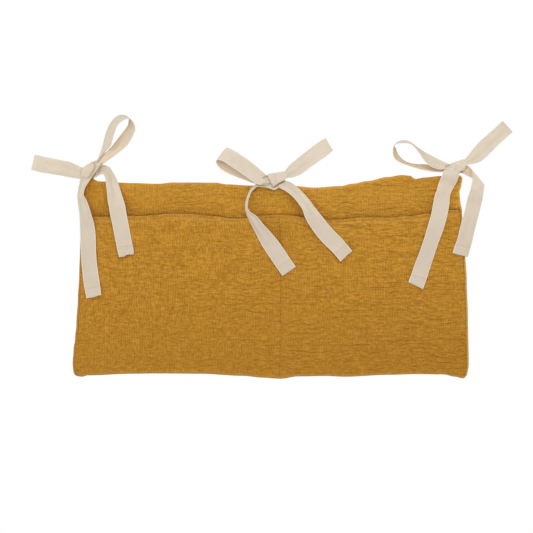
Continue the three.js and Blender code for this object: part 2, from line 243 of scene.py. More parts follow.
# The floor looks pale to the camera and sends little light up, so the cloth is lit from above.
floorMesh = bmesh.new()
bmesh.ops.create_grid(floorMesh, x_segments=2, y_segments=2, size=lightValues["floorHalf"])
floorData = bpy.data.meshes.new("studioFloor")
floorMesh.to_mesh(floorData)
floorMesh.free()
floor = bpy.data.objects.new("studioFloor", floorData)
floor.location = (0, 0, -lightValues["floorDrop"])
scene.collection.objects.link(floor)
floorPaint = Shader("floorPaint")
floorWhite = floorPaint.node("ShaderNodeEmission", None, {"Color": (1, 1, 1, 1), "Strength": 1.0})
floorMatt = floorPaint.node("ShaderNodeBsdfDiffuse", None, {"Color": (0.9, 0.9, 0.9, 1)})
floorDull = floorPaint.node("ShaderNodeBsdfDiffuse", None, {"Color": (0.8, 0.8, 0.8, 1)})
floorPlace = floorPaint.node("ShaderNodeTexCoord", None, None, "Object")
floorAway = floorPaint.node("ShaderNodeVectorMath", {"operation": "LENGTH"}, {0: floorPlace}, "Value")
floorFar = floorPaint.ramp(floorAway, *lightValues["floorFade"])
floorPale = lightValues["floorPale"] + (1 - lightValues["floorPale"]) * floorFar
floorSeen = floorPaint.node("ShaderNodeMixShader", None, {0: floorPale, 1: floorMatt, 2: floorWhite})
onCamera = floorPaint.node("ShaderNodeLightPath", None, None, "Is Camera Ray")
floorMix = floorPaint.node("ShaderNodeMixShader", None, {0: onCamera, 1: floorDull, 2: floorSeen})
floorPaint.tree.links.new(floorMix.socket, floorPaint.out.inputs["Surface"])
floorData.materials.append(floorPaint.material)
print("camera, lamps and floor are set")

# Double gauze: small puffs between creases that wander across and down the cloth. The light colour gives
# painted highlight on the puffs; the shade colours give painted shade between them, in the creases, down
# the cloth and along seams; the rim colour gives painted highlight along turned edges.
gauzeColours = {
    "base": (196, 138, 39),
    "light": (215, 157, 58),
    "paintedShadeColour": (146, 95, 16),
    "creaseShadeColour": (118, 74, 14),
    "rim": (232, 178, 88),
}
liningColours = {
    "base": (187, 130, 36),
    "light": (205, 148, 53),
    "paintedShadeColour": (141, 91, 16),
    "creaseShadeColour": (116, 72, 16),
    "rim": (206, 152, 68),
}
gauzeValues = {
    "acrossPuff": (9.0, 2.0),     # length and width of the puffs between creases across, mm
    "downPuff": (2.0, 5.2),
    "wanderLength": 26,           # mm over which the creases wander, and how far
    "wander": 9.0,
    "acrossPitch": 7.2,           # between the longer creases
    "downPitch": 6.6,
    "creaseDrift": 2.6,           # in pitches
    "ribScale": 0.105,
    "weaveScale": 0.62,
    "bumpStrength": 0.75,
    "bumpHeight": 0.0019,         # metres
    "contrast": 0.75,
    "creaseDepth": 0.55,
    # Painted shade: the colour gets deeper down the cloth, and more so towards its right.
    "lowRange": (105.0, 235.0),   # mm below the top, where the colour gets deeper
    "rightRange": (-216.0, 227.0),
    "lowShade": 0.24,              # how much deeper it gets down the cloth, and towards its right
    "rightShade": 0.13,
    "roughness": 0.94,
}


def gauzeMaterial(name, base, light, paintedShadeColour, creaseShadeColour, rim, seed):
    s = Shader(name)
    values = gauzeValues
    coords = s.node("ShaderNodeTexCoord", None, None, "Object")
    point = s.node("ShaderNodeVectorMath", {"operation": "SCALE"}, {0: coords, "Scale": 1000.0})
    wander = s.node("ShaderNodeTexNoise", None, {
        "Vector": point, "Scale": 1 / values["wanderLength"], "Detail": 2.0}, 1)
    reach = [values["wander"]] * 3
    shift = s.node("ShaderNodeVectorMath", {"operation": "MULTIPLY"}, {0: wander, 1: reach})
    bent = s.node("ShaderNodeVectorMath", {"operation": "ADD"}, {0: point, 1: shift})
    x = s.axis(bent, "X")
    z = s.axis(bent, "Z")

    def puffs(size, offset):
        stretch = (1 / size[0], 1 / 40, 1 / size[1])
        return s.ramp(s.noise(bent, stretch, (seed + offset, 3, 5), 2.0), 0.37, 0.63)

    # The creases run across the cloth towards its right, and both ways elsewhere.
    toRight = s.ramp(x, -170.0, 110.0)
    region = s.ramp(s.noise(bent, (1 / 55, 1 / 60, 1 / 34), (seed + 3, 4, 8)), 0.36, 0.64)
    share = 0.31 + 0.26 * region + 0.1 * toRight
    across = puffs(values["acrossPuff"], 0)
    down = puffs(values["downPuff"], 11)
    ribs = s.bands(bent, "X", values["ribScale"], 1.6, 0.6)
    ribShare = s.ramp(s.noise(bent, (1 / 30, 1 / 60, 1 / 22), (seed + 14, 6, 8)), 0.42, 0.6)
    puff = across * share + lerpSock(down, ribs, 0.15 + 0.45 * ribShare) * (1.0 - share)

    # Lines one pitch apart that drift, and that fade in and out along their way.
    def creases(place, pitch, drift, fade):
        line = place / pitch + values["creaseDrift"] * s.noise(bent, *drift)
        line = abs(line.maths("FRACT") - 0.5) * 2.0
        return s.ramp(line, 0.66, 1.0) * s.ramp(s.noise(bent, *fade), 0.44, 0.6)

    long = creases(z, values["acrossPitch"], ((1 / 55, 1 / 60, 1 / 20), (seed + 21, 3, 5)),
                   ((1 / 40, 1 / 40, 1 / 5), (seed + 6, 2, 3))) * (0.55 + 0.45 * toRight)
    upright = creases(x, values["downPitch"], ((1 / 20, 1 / 60, 1 / 55), (seed + 31, 7, 2)),
                      ((1 / 6, 1 / 40, 1 / 12), (seed + 9, 4, 1))) * (0.6 - 0.3 * toRight)
    long = long.maths("MAXIMUM", upright)
    small = s.noise(point, (1 / 1.5, 1 / 3, 1 / 1.5), (seed + 5, 1, 9), 1.0)
    # Attributes: painted shade along seams and edges, painted highlight along turned edges, painted light
    # on the band.
    fold = s.attribute("fold")
    edge = s.attribute("rim")
    tone = s.attribute("tone")
    warp, weft = (s.bands(point, letter, values["weaveScale"], 1.3, 0.5) for letter in "XZ")
    weave = warp * weft
    height = 0.8 * puff - 0.42 * long + 0.35 * small + 0.04 * weave
    bump = s.node("ShaderNodeBump", None, {
        "Strength": values["bumpStrength"], "Distance": values["bumpHeight"], "Height": height})

    # Painted highlight on the puffs and painted shade between them, mixed with random tone, and painted
    # light on the band above the pocket's mouth.
    shade = s.ramp(puff * 0.66 + small * 0.34 + 0.18 * tone, 0.16, 0.84)
    colour = s.mix(values["contrast"], tint(*base), s.mix(shade, tint(*paintedShadeColour), tint(*light)))
    # Painted shade in the creases.
    colour = s.mix(long * values["creaseDepth"], colour, tint(*paintedShadeColour))
    # Painted shade: darker down the cloth, and more so towards its right.
    low = s.ramp(s.axis(point, "Z") * -1.0, *values["lowRange"])
    farRight = s.ramp(s.axis(point, "X"), *values["rightRange"])
    colour = s.mix(values["lowShade"] * low + values["rightShade"] * low * farRight, colour, tint(*paintedShadeColour))
    # Painted shade along seams and edges, then painted highlight along turned edges.
    colour = s.mix(s.ramp(fold, 0.0, 1.0), colour, tint(*creaseShadeColour))
    colour = s.mix(s.ramp(edge, 0.0, 1.0), colour, tint(*rim))
    colour = s.mix(0.08 * weave, colour, tint(*light))
    return s.surface(Base_Color=colour, Roughness=values["roughness"] - 0.08 * puff, Normal=bump,
                     Specular_IOR_Level=0.15, Sheen_Weight=0.1, Sheen_Roughness=0.5)


gauze = gauzeMaterial("crinkledGauze", seed=0.0, **gauzeColours)
gauzeLining = gauzeMaterial("crinkledGauzeLining", seed=40.0, **liningColours)

# Cotton tape: a fine herringbone with paler woven edges. Painted contact shade where tape lies on tape
# comes from an attribute, and so does painted warm light inside loops; painted shade darkens the tape lower
# down.
tapeColours = {
    "base": (226, 213, 193),
    "light": (241, 232, 216),
    "shade": (207, 190, 165),
    # Painted contact shade where tape lies on tape.
    "creaseShadeColour": (138, 100, 62),
    # Painted shade that the tape takes lower down.
    "low": (200, 186, 168),
    # Painted warm light inside loops.
    "paintedWarmLight": (240, 214, 177),
}
weaveValues = {
    "turnEvery": 4.0,         # mm across, between the turns of the herringbone
    "ribsPerMm": 1.15,
    "warpPitch": 0.62,
    "bumpStrength": 0.5,
    "bumpHeight": 0.00035,    # metres
    "wovenEdge": (8.9, 9.7),  # mm from the tape's middle
    "besideEdge": (7.8, 8.5),
    # Painted shade: the tape gets darker lower down.
    "lowRange": (5.0, 60.0),  # mm below the cloth's top, where the tape gets duller
    "roughness": 0.82,
}


def tapeMaterial(name, base, light, shade, creaseShadeColour, low, paintedWarmLight):
    s = Shader(name)
    values = weaveValues
    across = s.attribute("across")
    along = s.attribute("along")
    dark = s.attribute("contact")
    inside = s.attribute("inside")
    coords = s.node("ShaderNodeTexCoord", None, None, "Object")
    fine = s.node("ShaderNodeTexNoise", None, {"Vector": coords, "Scale": 420.0, "Detail": 2.0})
    slow = s.node("ShaderNodeTexNoise", None, {"Vector": coords, "Scale": 45.0, "Detail": 3.0})
    turned = abs((across / values["turnEvery"]).maths("FRACT") - 0.5) * (2 * values["turnEvery"])
    ribs = ((along * values["ribsPerMm"] + turned * 0.5) * (2 * math.pi)).maths("SINE")
    warp = (across * (2 * math.pi / values["warpPitch"])).maths("SINE")
    height = 0.5 + 0.22 * ribs + 0.2 * warp + 0.25 * (fine - 0.5)
    bump = s.node("ShaderNodeBump", None, {
        "Strength": values["bumpStrength"], "Distance": values["bumpHeight"], "Height": height})
    edge = s.ramp(abs(across), *values["wovenEdge"])
    inner = s.ramp(abs(across), *values["besideEdge"]) * (1.0 - edge)
    colour = s.mix(s.ramp(slow, 0.36, 0.68) * 0.42, tint(*base), tint(*shade))
    # Painted shade: the tape gets darker lower down the cloth.
    down = s.axis(coords, "Z") * -1000.0
    colour = s.mix(0.5 * s.ramp(down, *values["lowRange"]), colour, tint(*low))
    # Painted warm light on the faces inside loops.
    colour = s.mix(inside, colour, tint(*paintedWarmLight))
    colour = s.mix((0.5 + 0.5 * ribs) * 0.14 + 0.16 * inner, colour, tint(*shade))
    colour = s.mix(edge * 0.85, colour, tint(*light))
    # Painted contact shade where tape lies on tape.
    colour = s.mix(s.ramp(dark, 0.0, 1.0), colour, tint(*creaseShadeColour))
    return s.surface(Base_Color=colour, Roughness=values["roughness"], Normal=bump, Specular_IOR_Level=0.2,
                     Sheen_Weight=0.08, Sheen_Roughness=0.5)


cottonTape = tapeMaterial("cottonTape", **tapeColours)

threadColours = {
    "gauze": (180, 125, 40), "gauzeTwist": (150, 100, 28), "tack": (118, 76, 18), "tackTwist": (92, 58, 12),
    "tape": (230, 218, 199), "tapeTwist": (205, 188, 162),
}


def threadMaterial(name, colour, twistColour):
    s = Shader(name)
    coords = s.node("ShaderNodeTexCoord", None, None, "Object")
    twist = s.node("ShaderNodeTexWave", {"wave_type": "BANDS", "bands_direction": "DIAGONAL"},
                   {"Vector": coords, "Scale": 900.0, "Distortion": 1.0}, "Fac")
    bump = s.node("ShaderNodeBump", None, {"Strength": 0.4, "Distance": 0.0001, "Height": twist})
    shade = s.mix(0.35 * twist, tint(*colour), tint(*twistColour))
    return s.surface(Base_Color=shade, Roughness=0.75, Normal=bump, Specular_IOR_Level=0.25)


gauzeThread = threadMaterial("gauzeThread", threadColours["gauze"], threadColours["gauzeTwist"])
tackThread = threadMaterial("tackThread", threadColours["tack"], threadColours["tackTwist"])
tapeThread = threadMaterial("tapeThread", threadColours["tape"], threadColours["tapeTwist"])
print("materials are written")

# Sizes in millimetres, as the CAD has them.
cloth = {
    "width": 500, "height": 246, "thickness": 0.9, "layerGap": 0.4,
    "layer": 1.0,         # the room that each layer takes
    "sideDrawIn": 11, "topWave": 8.3, "bottomWave": 4.2, "topSway": 4,
    "cell": 1.7,          # size of the mesh's cells
    "puffHeight": 0.42,   # of the crinkles
    "edgeRadius": 1.3,    # of a turned edge
    "ridge": 0.45,        # how far the edge stands up beside it
    "panelInset": 0.45,   # how much smaller each layer is made, all round
    "liningInset": 0.9,
    "seamAllowance": 9,   # the turned-in cloth that fills the edges out
    "fullness": {"left": 1.2, "right": 0.3, "top": 0.8, "bottom": 1.2},   # and by how much
    "cornerRadii": {"topLeft": 3, "topRight": 5.5, "bottomLeft": 4, "bottomRight": 3.5},
}
pocket = {
    "bandHeight": 43, "inset": 3.3, "lift": 1.5, "belly": 13, "thickness": 1.6, "mouthWave": 5,
    "hemDepth": 3.2, "hemFold": 12, "mouthDrop": 0.8, "dividerAt": 12, "dividerWander": 1.4,
    "dividerShift": 0.6, "foldRadius": 0.85, "ridge": 0.5,
    "hemRise": 0.22, "pull": 0.1, "dividerGroove": 0.4, "hemGroove": 0.16,
}
stitchValues = {"pitch": 3.9, "length": 2.6, "width": 0.55, "height": 0.36, "turns": 8, "slopes": 5}
tape = {"width": 20, "thickness": 0.8, "gap": 0.4, "hem": 12, "seamDepth": 12, "seamMargin": 1.5}
knot = {"height": 17.5, "thickness": 11}

liningFront = cloth["layer"]
panelBack = liningFront + cloth["layerGap"]
panelFront = panelBack + cloth["layer"]
pocketBack = panelFront + cloth["layerGap"]
mouthHeight = -pocket["bandHeight"]
pocketDepth = cloth["height"] - pocket["bandHeight"]
tapeStack = 2 * tape["thickness"] + 2 * tape["gap"]
seamSwell = tapeStack - cloth["layerGap"]
knotForward = panelFront + seamSwell + tape["gap"] + knot["thickness"] / 2

edgeShares = {
    "top": [
        (0, 0.15), (0.023, 0.32), (0.033, 0.11), (0.045, -0.12), (0.13, -0.38), (0.2, -0.5), (0.24, -0.3),
        (0.35, -0.33),
        (0.38, -0.58), (0.44, -0.75), (0.56, -0.84), (0.61, -1.08), (0.68, -0.84), (0.71, -0.49),
        (0.75, -0.08), (0.8, 0.53), (0.84, 0.84), (0.86, 0.75), (0.875, 0.27), (0.9, 0.48), (0.94, 0.7),
        (0.98, 0.92), (1, 0.8)],
    "bottom": [
        (0, -0.06), (0.02, -0.33), (0.035, 0.09), (0.145, 0.58), (0.215, 0.67), (0.32, 0.58),
        (0.43, -0.06), (0.48, -0.61), (0.525, -0.94), (0.57, -0.24), (0.64, -0.1), (0.69, -0.33),
        (0.8, 0.24), (0.87, 0.46), (0.94, 0.37), (0.97, -0.33), (0.99, -0.85), (1, -0.43)],
    "mouth": [
        (0, -0.38), (0.1, -0.36), (0.135, -0.25), (0.165, -0.2), (0.195, 0.05), (0.226, 0.32),
        (0.255, 0.35),
        (0.285, 0.28), (0.31, 0.08), (0.35, -0.25), (0.39, -0.85), (0.42, -0.85), (0.465, -0.2),
        (0.52, 0.18),
        (0.555, -0.05), (0.59, -0.6), (0.65, -1.2), (0.68, -1.15), (0.72, -0.75), (0.76, -0.6),
        (0.81, -0.68),
        (0.86, -0.28), (0.92, 0.38), (0.965, 1.24), (1, 1.47)],
    "left": [
        (0, 1), (0.35, 0.8), (0.5, 0.7), (0.6, 0.56), (0.74, 0.38), (0.81, 0.23), (0.87, 0.05),
        (0.94, -0.05), (1, 0.07)],
    "right": [
        (0, 0.52), (0.05, 0.74), (0.08, 0.95), (0.12, 0.87), (0.18, 0.63), (0.39, 0.26), (0.52, 0.09),
        (0.71, -0.05), (0.94, -0.14), (1, 0.04)],
}


def smooth(t):
    c = np.clip(t, 0, 1)
    return c * c * (3 - 2 * c)


def readShares(pairs, place):
    at = np.array([p for p, _ in pairs], float)
    value = np.array([s for _, s in pairs], float)
    place = np.clip(place, at[0], at[-1])
    i = np.clip(np.searchsorted(at, place, side="right") - 1, 0, len(at) - 2)
    return value[i] + (value[i + 1] - value[i]) * smooth((place - at[i]) / (at[i + 1] - at[i]))


def lerp(a, b, t):
    return a + (b - a) * t


def unit(vectors):
    return vectors / np.maximum(np.linalg.norm(vectors, axis=-1, keepdims=True), 1e-6)


# A soft mark that is 1 at a place and fades over a width on either side.
def mark(away, width):
    return np.exp(-(away / width) ** 2)


# Smooth noise from 0 to 1 with one cell per unit.
def softNoise(x, z, seed):
    table = np.random.default_rng(seed).random((64, 64))
    i, k = np.floor(x).astype(int), np.floor(z).astype(int)
    u, w = smooth(x - i), smooth(z - k)

    def at(a, b):
        return table[a % 64, b % 64]

    low = lerp(at(i, k), at(i + 1, k), u)
    high = lerp(at(i, k + 1), at(i + 1, k + 1), u)
    return lerp(low, high, w)


# Height of the gauze's puffs at a place, from 0 in a crease to about 1.
def crinkle(x, z, seed):
    wx = x + 6 * softNoise(x / 27, z / 27, seed)
    wz = z + 6 * softNoise(x / 31, z / 19, seed + 1)
    across = np.abs(2 * softNoise(wx / 22, wz / 6.5, seed + 2) - 1)
    down = np.abs(2 * softNoise(wx / 6.5, wz / 20, seed + 3) - 1)
    share = softNoise(x / 90, z / 60, seed + 4)
    return lerp(down, across, 0.35 + 0.5 * share) * 1.1


knotPlaces = {
    "left": (-0.9 * cloth["width"] / 2, 1.5 * cloth["topWave"]),
    "centre": (0.022 * cloth["width"] / 2, 0.15 * cloth["topWave"]),
    "right": (0.947 * cloth["width"] / 2, 1.95 * cloth["topWave"]),
}


def panelOutline(u, v):
    half = cloth["width"] / 2
    full = cloth["fullness"]
    left = -half - full["left"] + cloth["sideDrawIn"] * readShares(edgeShares["left"], v)
    right = half + full["right"] - cloth["sideDrawIn"] * readShares(edgeShares["right"], v)
    top = full["top"] + cloth["topWave"] * readShares(edgeShares["top"], u)
    bottom = -full["bottom"] - cloth["height"] + cloth["bottomWave"] * readShares(edgeShares["bottom"], u)
    return lerp(left, right, u), lerp(top, bottom, v)


# The top band leans forward between two ties.
def sway(x, z):
    places = [knotPlaces[name][0] for name in ("left", "centre", "right")]
    lean = np.zeros_like(x)
    for start, end in zip(places, places[1:]):
        across = np.clip((x - start) / (end - start), 0, 1)
        lean = lean + np.sin(np.pi * across) ** 2
    return cloth["topSway"] * lean * smooth(1 - z / mouthHeight)


# The top seam swells over the tape that is caught in it.
def seamSwellAt(x, z):
    most = np.zeros_like(x)
    for place, _ in knotPlaces.values():
        past = (np.abs(x - place) - 0.8 * tape["width"]) / tape["width"]
        below = (-z - 2 * tape["seamDepth"]) / (2 * tape["seamDepth"])
        most = np.maximum(most, seamSwell * (1 - smooth(past)) * (1 - smooth(below)))
    return most


def dividerPlace(z):
    down = np.clip((mouthHeight - z) / pocketDepth, 0, 1)
    return pocket["dividerAt"] - pocket["dividerShift"] + pocket["dividerWander"] * np.sin(np.pi * down)


def belly(x, z):
    side = cloth["width"] / 2 - pocket["inset"]
    seam = dividerPlace(z)
    t = np.where(x < seam, (x + side) / (seam + side), (x - seam) / (side - seam))
    across = 1 - np.abs(2 * np.clip(t, 0, 1) - 1) ** 2.2
    down = np.clip((mouthHeight - z) / pocketDepth, 0, 1)
    return pocket["belly"] * across * (1 - down ** 2)


def pocketOutline(u, v):
    half = cloth["width"] / 2 - pocket["inset"]
    mouth = mouthHeight + pocket["mouthWave"] * readShares(edgeShares["mouth"], u)
    full = cloth["fullness"]
    bottom = (pocket["lift"] - full["bottom"] - cloth["height"]
              + cloth["bottomWave"] * readShares(edgeShares["bottom"], u))
    z = lerp(mouth, bottom, v)
    level = np.clip(-z / cloth["height"], 0, 1)
    left = -half - full["left"] + cloth["sideDrawIn"] * readShares(edgeShares["left"], level)
    right = half + full["right"] - cloth["sideDrawIn"] * readShares(edgeShares["right"], level)
    return lerp(left, right, u), z


# How far a turned edge has fallen back at a distance inside it.
def roundOver(inside, radius):
    c = 1 - np.clip(inside / radius, 0, 1)
    return radius * (1 - np.sqrt(np.maximum(1 - c * c, 0)))


# Draws the corners of a panel in, given the distances from its left side and from its top.
def roundCorners(x, z, fromLeft, fromTop, width, height, names):
    for name in names:
        radius = cloth["cornerRadii"][name]
        a = fromLeft if name.endswith("Left") else width - fromLeft
        b = fromTop if name.startswith("top") else height - fromTop
        pull = 0.32 * radius * (np.clip(1 - a / radius, 0, 1) * np.clip(1 - b / radius, 0, 1)) ** 1.25
        x = x + pull * (1 if name.endswith("Left") else -1)
        z = z + pull * (-1 if name.startswith("top") else 1)
    return x, z


# Shares along an edge of this length: close together at the turned ends, even between them.
def edgeSpread(length, cell, radius):
    ends = np.array([0, 0.04, 0.16, 0.4, 0.75, 1.15]) * radius
    count = max(2, round((length - 2 * ends[-1]) / cell))
    middle = np.linspace(ends[-1], length - ends[-1], count + 1)
    return np.concatenate([ends[:-1], middle, length - ends[:-1][::-1]]) / length


# A grid of points, rows down and columns across, as a sheet with half its thickness on either side.
def sheetObject(name, places, thickness, material, attributes, thinRim=0.0):
    rows, columns = places.shape[:2]
    facing = unit(np.cross(np.gradient(places, axis=0), np.gradient(places, axis=1)))
    half = np.full((rows, columns, 1), thickness / 2)
    half[[0, -1]] -= thinRim
    half[1:-1, [0, -1]] -= thinRim
    points = np.concatenate([(places + side * facing * half).reshape(-1, 3) for side in (1, -1)])
    index = np.arange(rows * columns).reshape(rows, columns)
    corners = [index[:-1, :-1], index[1:, :-1], index[1:, 1:], index[:-1, 1:]]
    front = np.stack([corner.ravel() for corner in corners], axis=-1)
    border = np.concatenate([index[:-1, 0], index[-1, :-1], index[:0:-1, -1], index[0, :0:-1]])
    ahead = np.roll(border, -1)
    rim = np.stack([ahead, border, border + index.size, ahead + index.size], axis=-1)
    faces = np.concatenate([front, front[:, ::-1] + index.size, rim])
    data = bpy.data.meshes.new(name)
    data.from_pydata((points * mm).tolist(), [], faces.tolist())
    for key, values in attributes.items():
        flat = np.asarray(values, np.float32).ravel()
        data.attributes.new(key, "FLOAT", "POINT").data.foreach_set("value", np.concatenate([flat, flat]))
    data.polygons.foreach_set("use_smooth", [True] * len(data.polygons))
    data.set_sharp_from_angle(angle=math.radians(48))
    data.materials.append(material)
    made = bpy.data.objects.new(name, data)
    scene.collection.objects.link(made)
    return made


def rimMark(inside):
    return mark(inside, 1.7)


# The crinkles at a place: calm where a seam holds them, and none at the very edge.
def puffAt(x, z, seed, inside, held=1.0):
    calm = (0.35 + 0.65 * smooth((inside - 2) / cloth["seamAllowance"])) * held
    return (crinkle(x, z, seed) - 0.3) * cloth["puffHeight"] * calm * smooth(inside / 3)


# The cloth that is turned in lifts the edge in a low ridge.
def ridgeAt(inside, height):
    return height * smooth(inside / 2.5) * (1 - smooth((inside - 6) / 4))


# Places of a panel's cloth: its outline, its level, turned edges and crinkles.
def panelPlaces(level, insetAll, seed, facing):
    radius = cloth["edgeRadius"]
    width, height = cloth["width"], cloth["height"]
    u, v = np.meshgrid(edgeSpread(width, cloth["cell"], radius), edgeSpread(height, cloth["cell"], radius))
    x, z = panelOutline(u, v)
    x, z = roundCorners(x, z, u * width, v * height, width, height,
                        ("topLeft", "topRight", "bottomLeft", "bottomRight"))
    x = x.mean() + (x - x.mean()) * (1 - 2 * insetAll / width)
    z = z.mean() + (z - z.mean()) * (1 - 2 * insetAll / height)
    inside = np.minimum(np.minimum(u, 1 - u) * width, np.minimum(v, 1 - v) * height)
    raised = puffAt(x, z, seed, inside) + ridgeAt(inside, cloth["ridge"])
    forward = level(x, z) + (raised - roundOver(inside, radius)) * facing
    return np.stack([x, -forward, z], axis=-1), inside, u


# Back panel: the front layer. It has painted shade where its band goes down behind the pocket's mouth and
# beside the pocket's sides, painted light on the band above the mouth, and a painted highlight along its
# edges that grows towards the right.
def panelLevel(x, z):
    return panelFront - cloth["thickness"] / 2 + sway(x, z) + seamSwellAt(x, z)


panelGrid, panelInside, panelAcross = panelPlaces(panelLevel, cloth["panelInset"], seed=11, facing=1.0)
mouthLine = mouthHeight + pocket["mouthWave"] * readShares(edgeShares["mouth"], panelAcross)
aboveMouth = panelGrid[:, :, 2] - mouthLine
# Painted shade along the pocket's side edges.
besidePocket = mark(panelInside - pocket["inset"] + 0.3, 0.8) * (aboveMouth < 0)
backPanel = sheetObject("backPanelCloth", panelGrid, cloth["thickness"], gauze, {
    "fold": 0.36 * mark(np.clip(aboveMouth, 0, None), 1.4) * (aboveMouth > -8) + 0.6 * besidePocket,
    "rim": rimMark(panelInside) * lerp(0.1, 0.9, panelAcross),
    "tone": smooth(aboveMouth / 6)})
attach(backPanel, "caddy")
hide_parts("back_panel")


def liningLevel(x, z):
    return cloth["thickness"] + sway(x, z)


liningGrid, liningInside, _ = panelPlaces(liningLevel, cloth["liningInset"], seed=29, facing=-1.0)
# The lining's edges have a painted highlight.
backLining = sheetObject("backLiningCloth", liningGrid, cloth["thickness"], gauzeLining, {
    "fold": np.zeros_like(liningInside),
    "rim": 0.5 * rimMark(liningInside),
    "tone": np.zeros_like(liningInside)})
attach(backLining, "caddy")
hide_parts("back_lining")
print("back panel and lining are made")


# Pocket panel: its mouth is folded to the inside and stitched down, and the divider is sewn in.
def pocketPlaces():
    radius = cloth["edgeRadius"]
    width, depth = cloth["width"] - 2 * pocket["inset"], pocketDepth
    atDivider = 0.5 + (pocket["dividerAt"] + np.array([-1.1, -0.4, 0.4, 1.1])) / width
    us = np.sort(np.unique(np.concatenate([edgeSpread(width, cloth["cell"], radius), atDivider])))
    foldRadius, hemDepth, pitch = pocket["foldRadius"], pocket["hemDepth"], stitchValues["pitch"]
    hem = [(back, -2 * foldRadius, back) for back in np.linspace(pocket["hemFold"], 1.5, 7)]
    turn = [(foldRadius * (1 - math.sin(angle)), foldRadius * (math.cos(angle) - 1), 0.0)
            for angle in np.linspace(math.pi, 0, 7)[:-1]]
    downs = np.concatenate([[0.85, 1.2, 1.6, 2.0, 2.4, 2.8, 3.2, 3.6, 4.0, 4.8],
                            np.linspace(5.8, depth - 1.6, round((depth - 7.4) / cloth["cell"])),
                            depth - radius * np.array([0.75, 0.4, 0.16, 0.04, 0])])
    rows = hem + turn + [(down, 0.0, down) for down in downs]
    down, setBack, below = (np.array([row[k] for row in rows])[:, None] for k in range(3))
    u = np.broadcast_to(us[None, :], (len(rows), len(us)))
    v = np.broadcast_to(down / depth, u.shape)
    x, z = pocketOutline(u, v)
    x, z = roundCorners(x, z, u * width, v * depth, width, depth, ("bottomLeft", "bottomRight"))
    z = z - pocket["mouthDrop"] * (1 - v)
    inside = np.minimum(np.minimum(u, 1 - u) * width, (1 - v) * depth)
    fromMouth = np.broadcast_to(below, u.shape)
    onHem = 1 - smooth((fromMouth - hemDepth) / 1.5)
    fromDivider = np.abs(x - dividerPlace(z))
    puff = puffAt(x, z, 47, inside, 1 - 0.7 * onHem) * (0.35 + 0.65 * smooth(fromDivider / 5))
    # The stitches pull the cloth in along the divider and the hem.
    sewn = smooth((fromMouth + 1) / 2)
    pulls = (pocket["pull"] * np.cos(2 * np.pi * z / pitch) * mark(fromDivider, 3.2)
             + pocket["pull"] * np.cos(2 * np.pi * x / pitch) * mark(fromMouth - hemDepth, 2.0))
    groove = (-pocket["dividerGroove"] * mark(fromDivider, 1.3) * sewn
              - pocket["hemGroove"] * mark(fromMouth - hemDepth, 0.9))
    raised = (puff + pulls + groove + ridgeAt(inside, pocket["ridge"])) * (setBack > -0.01)
    level = (pocketBack + pocket["thickness"] - cloth["thickness"] / 2 + belly(x, z) + setBack
             + pocket["hemRise"] * onHem + raised - roundOver(inside, radius))
    # Painted shade along the divider, the hem's stitches and the side edges; painted highlight along the
    # bottom edge, the mouth's fold and below the hem.
    attributes = {
        "fold": (0.2 * mark(fromDivider, 0.9) * sewn + 0.08 * mark(fromMouth - hemDepth, 0.8)
                 + 0.25 * mark(np.minimum(u, 1 - u) * width, 0.7)),
        "rim": (0.35 * rimMark((1 - v) * depth) + 0.12 * mark(fromMouth - 0.6, 0.9)
                + 0.2 * mark(fromMouth - 5.2, 2.4)),
        "tone": np.zeros_like(x)}
    return np.stack([x, -level, z], axis=-1), attributes


pocketGrid, pocketAttributes = pocketPlaces()
pocketPanel = sheetObject("pocketPanelCloth", pocketGrid, cloth["thickness"], gauze, pocketAttributes)
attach(pocketPanel, "caddy")
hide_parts("pocket_panel")
print("pocket panel is made")


# Finished mesh data as a smooth object of one material.
def solidObject(name, data, material):
    data.polygons.foreach_set("use_smooth", [True] * len(data.polygons))
    data.materials.append(material)
    made = bpy.data.objects.new(name, data)
    scene.collection.objects.link(made)
    return made


# The points and faces of a ball of width 1, with its poles along Z, in the same order each run.
def ballShape(turns, slopes):
    turn = np.arange(turns) * (2 * math.pi / turns)
    slope = np.arange(1, slopes)[:, None] * (math.pi / slopes)
    rings = np.broadcast_arrays(np.sin(slope) * np.cos(turn), np.sin(slope) * np.sin(turn), np.cos(slope))
    points = np.concatenate([[(0, 0, 1)], np.stack(rings, axis=-1).reshape(-1, 3), [(0, 0, -1)]]) / 2
    here = np.arange(1, len(points) - 1).reshape(slopes - 1, turns)
    there = np.roll(here, -1, axis=1)
    faces = np.stack([here[:-1], here[1:], there[1:], there[:-1]], axis=-1).reshape(-1, 4).tolist()
    faces += [(0, *pair) for pair in zip(here[0].tolist(), there[0].tolist())]
    faces += [(len(points) - 1, *pair) for pair in zip(there[-1].tolist(), here[-1].tolist())]
    return points, faces


# A row of stitches: each a short rounded bar of thread that lies on the cloth.
def stitchRow(name, places, directions, material, outward=(0, -1, 0), **sizes):
    size = [{**stitchValues, **sizes}[side] for side in ("width", "height", "length")]
    ball, ballFaces = ballShape(stitchValues["turns"], stitchValues["slopes"])
    points, faces = [], []
    for place, direction in zip(places, directions):
        along = unit(np.asarray(direction))
        out = unit(outward - along * np.dot(outward, along))
        faces += [[corner + len(points) for corner in face] for face in ballFaces]
        points += (place + (ball * size) @ np.stack([np.cross(along, out), -out, along])).tolist()
    data = bpy.data.meshes.new(name)
    data.from_pydata((np.array(points) * mm).tolist(), [], faces)
    return solidObject(name, data, material)


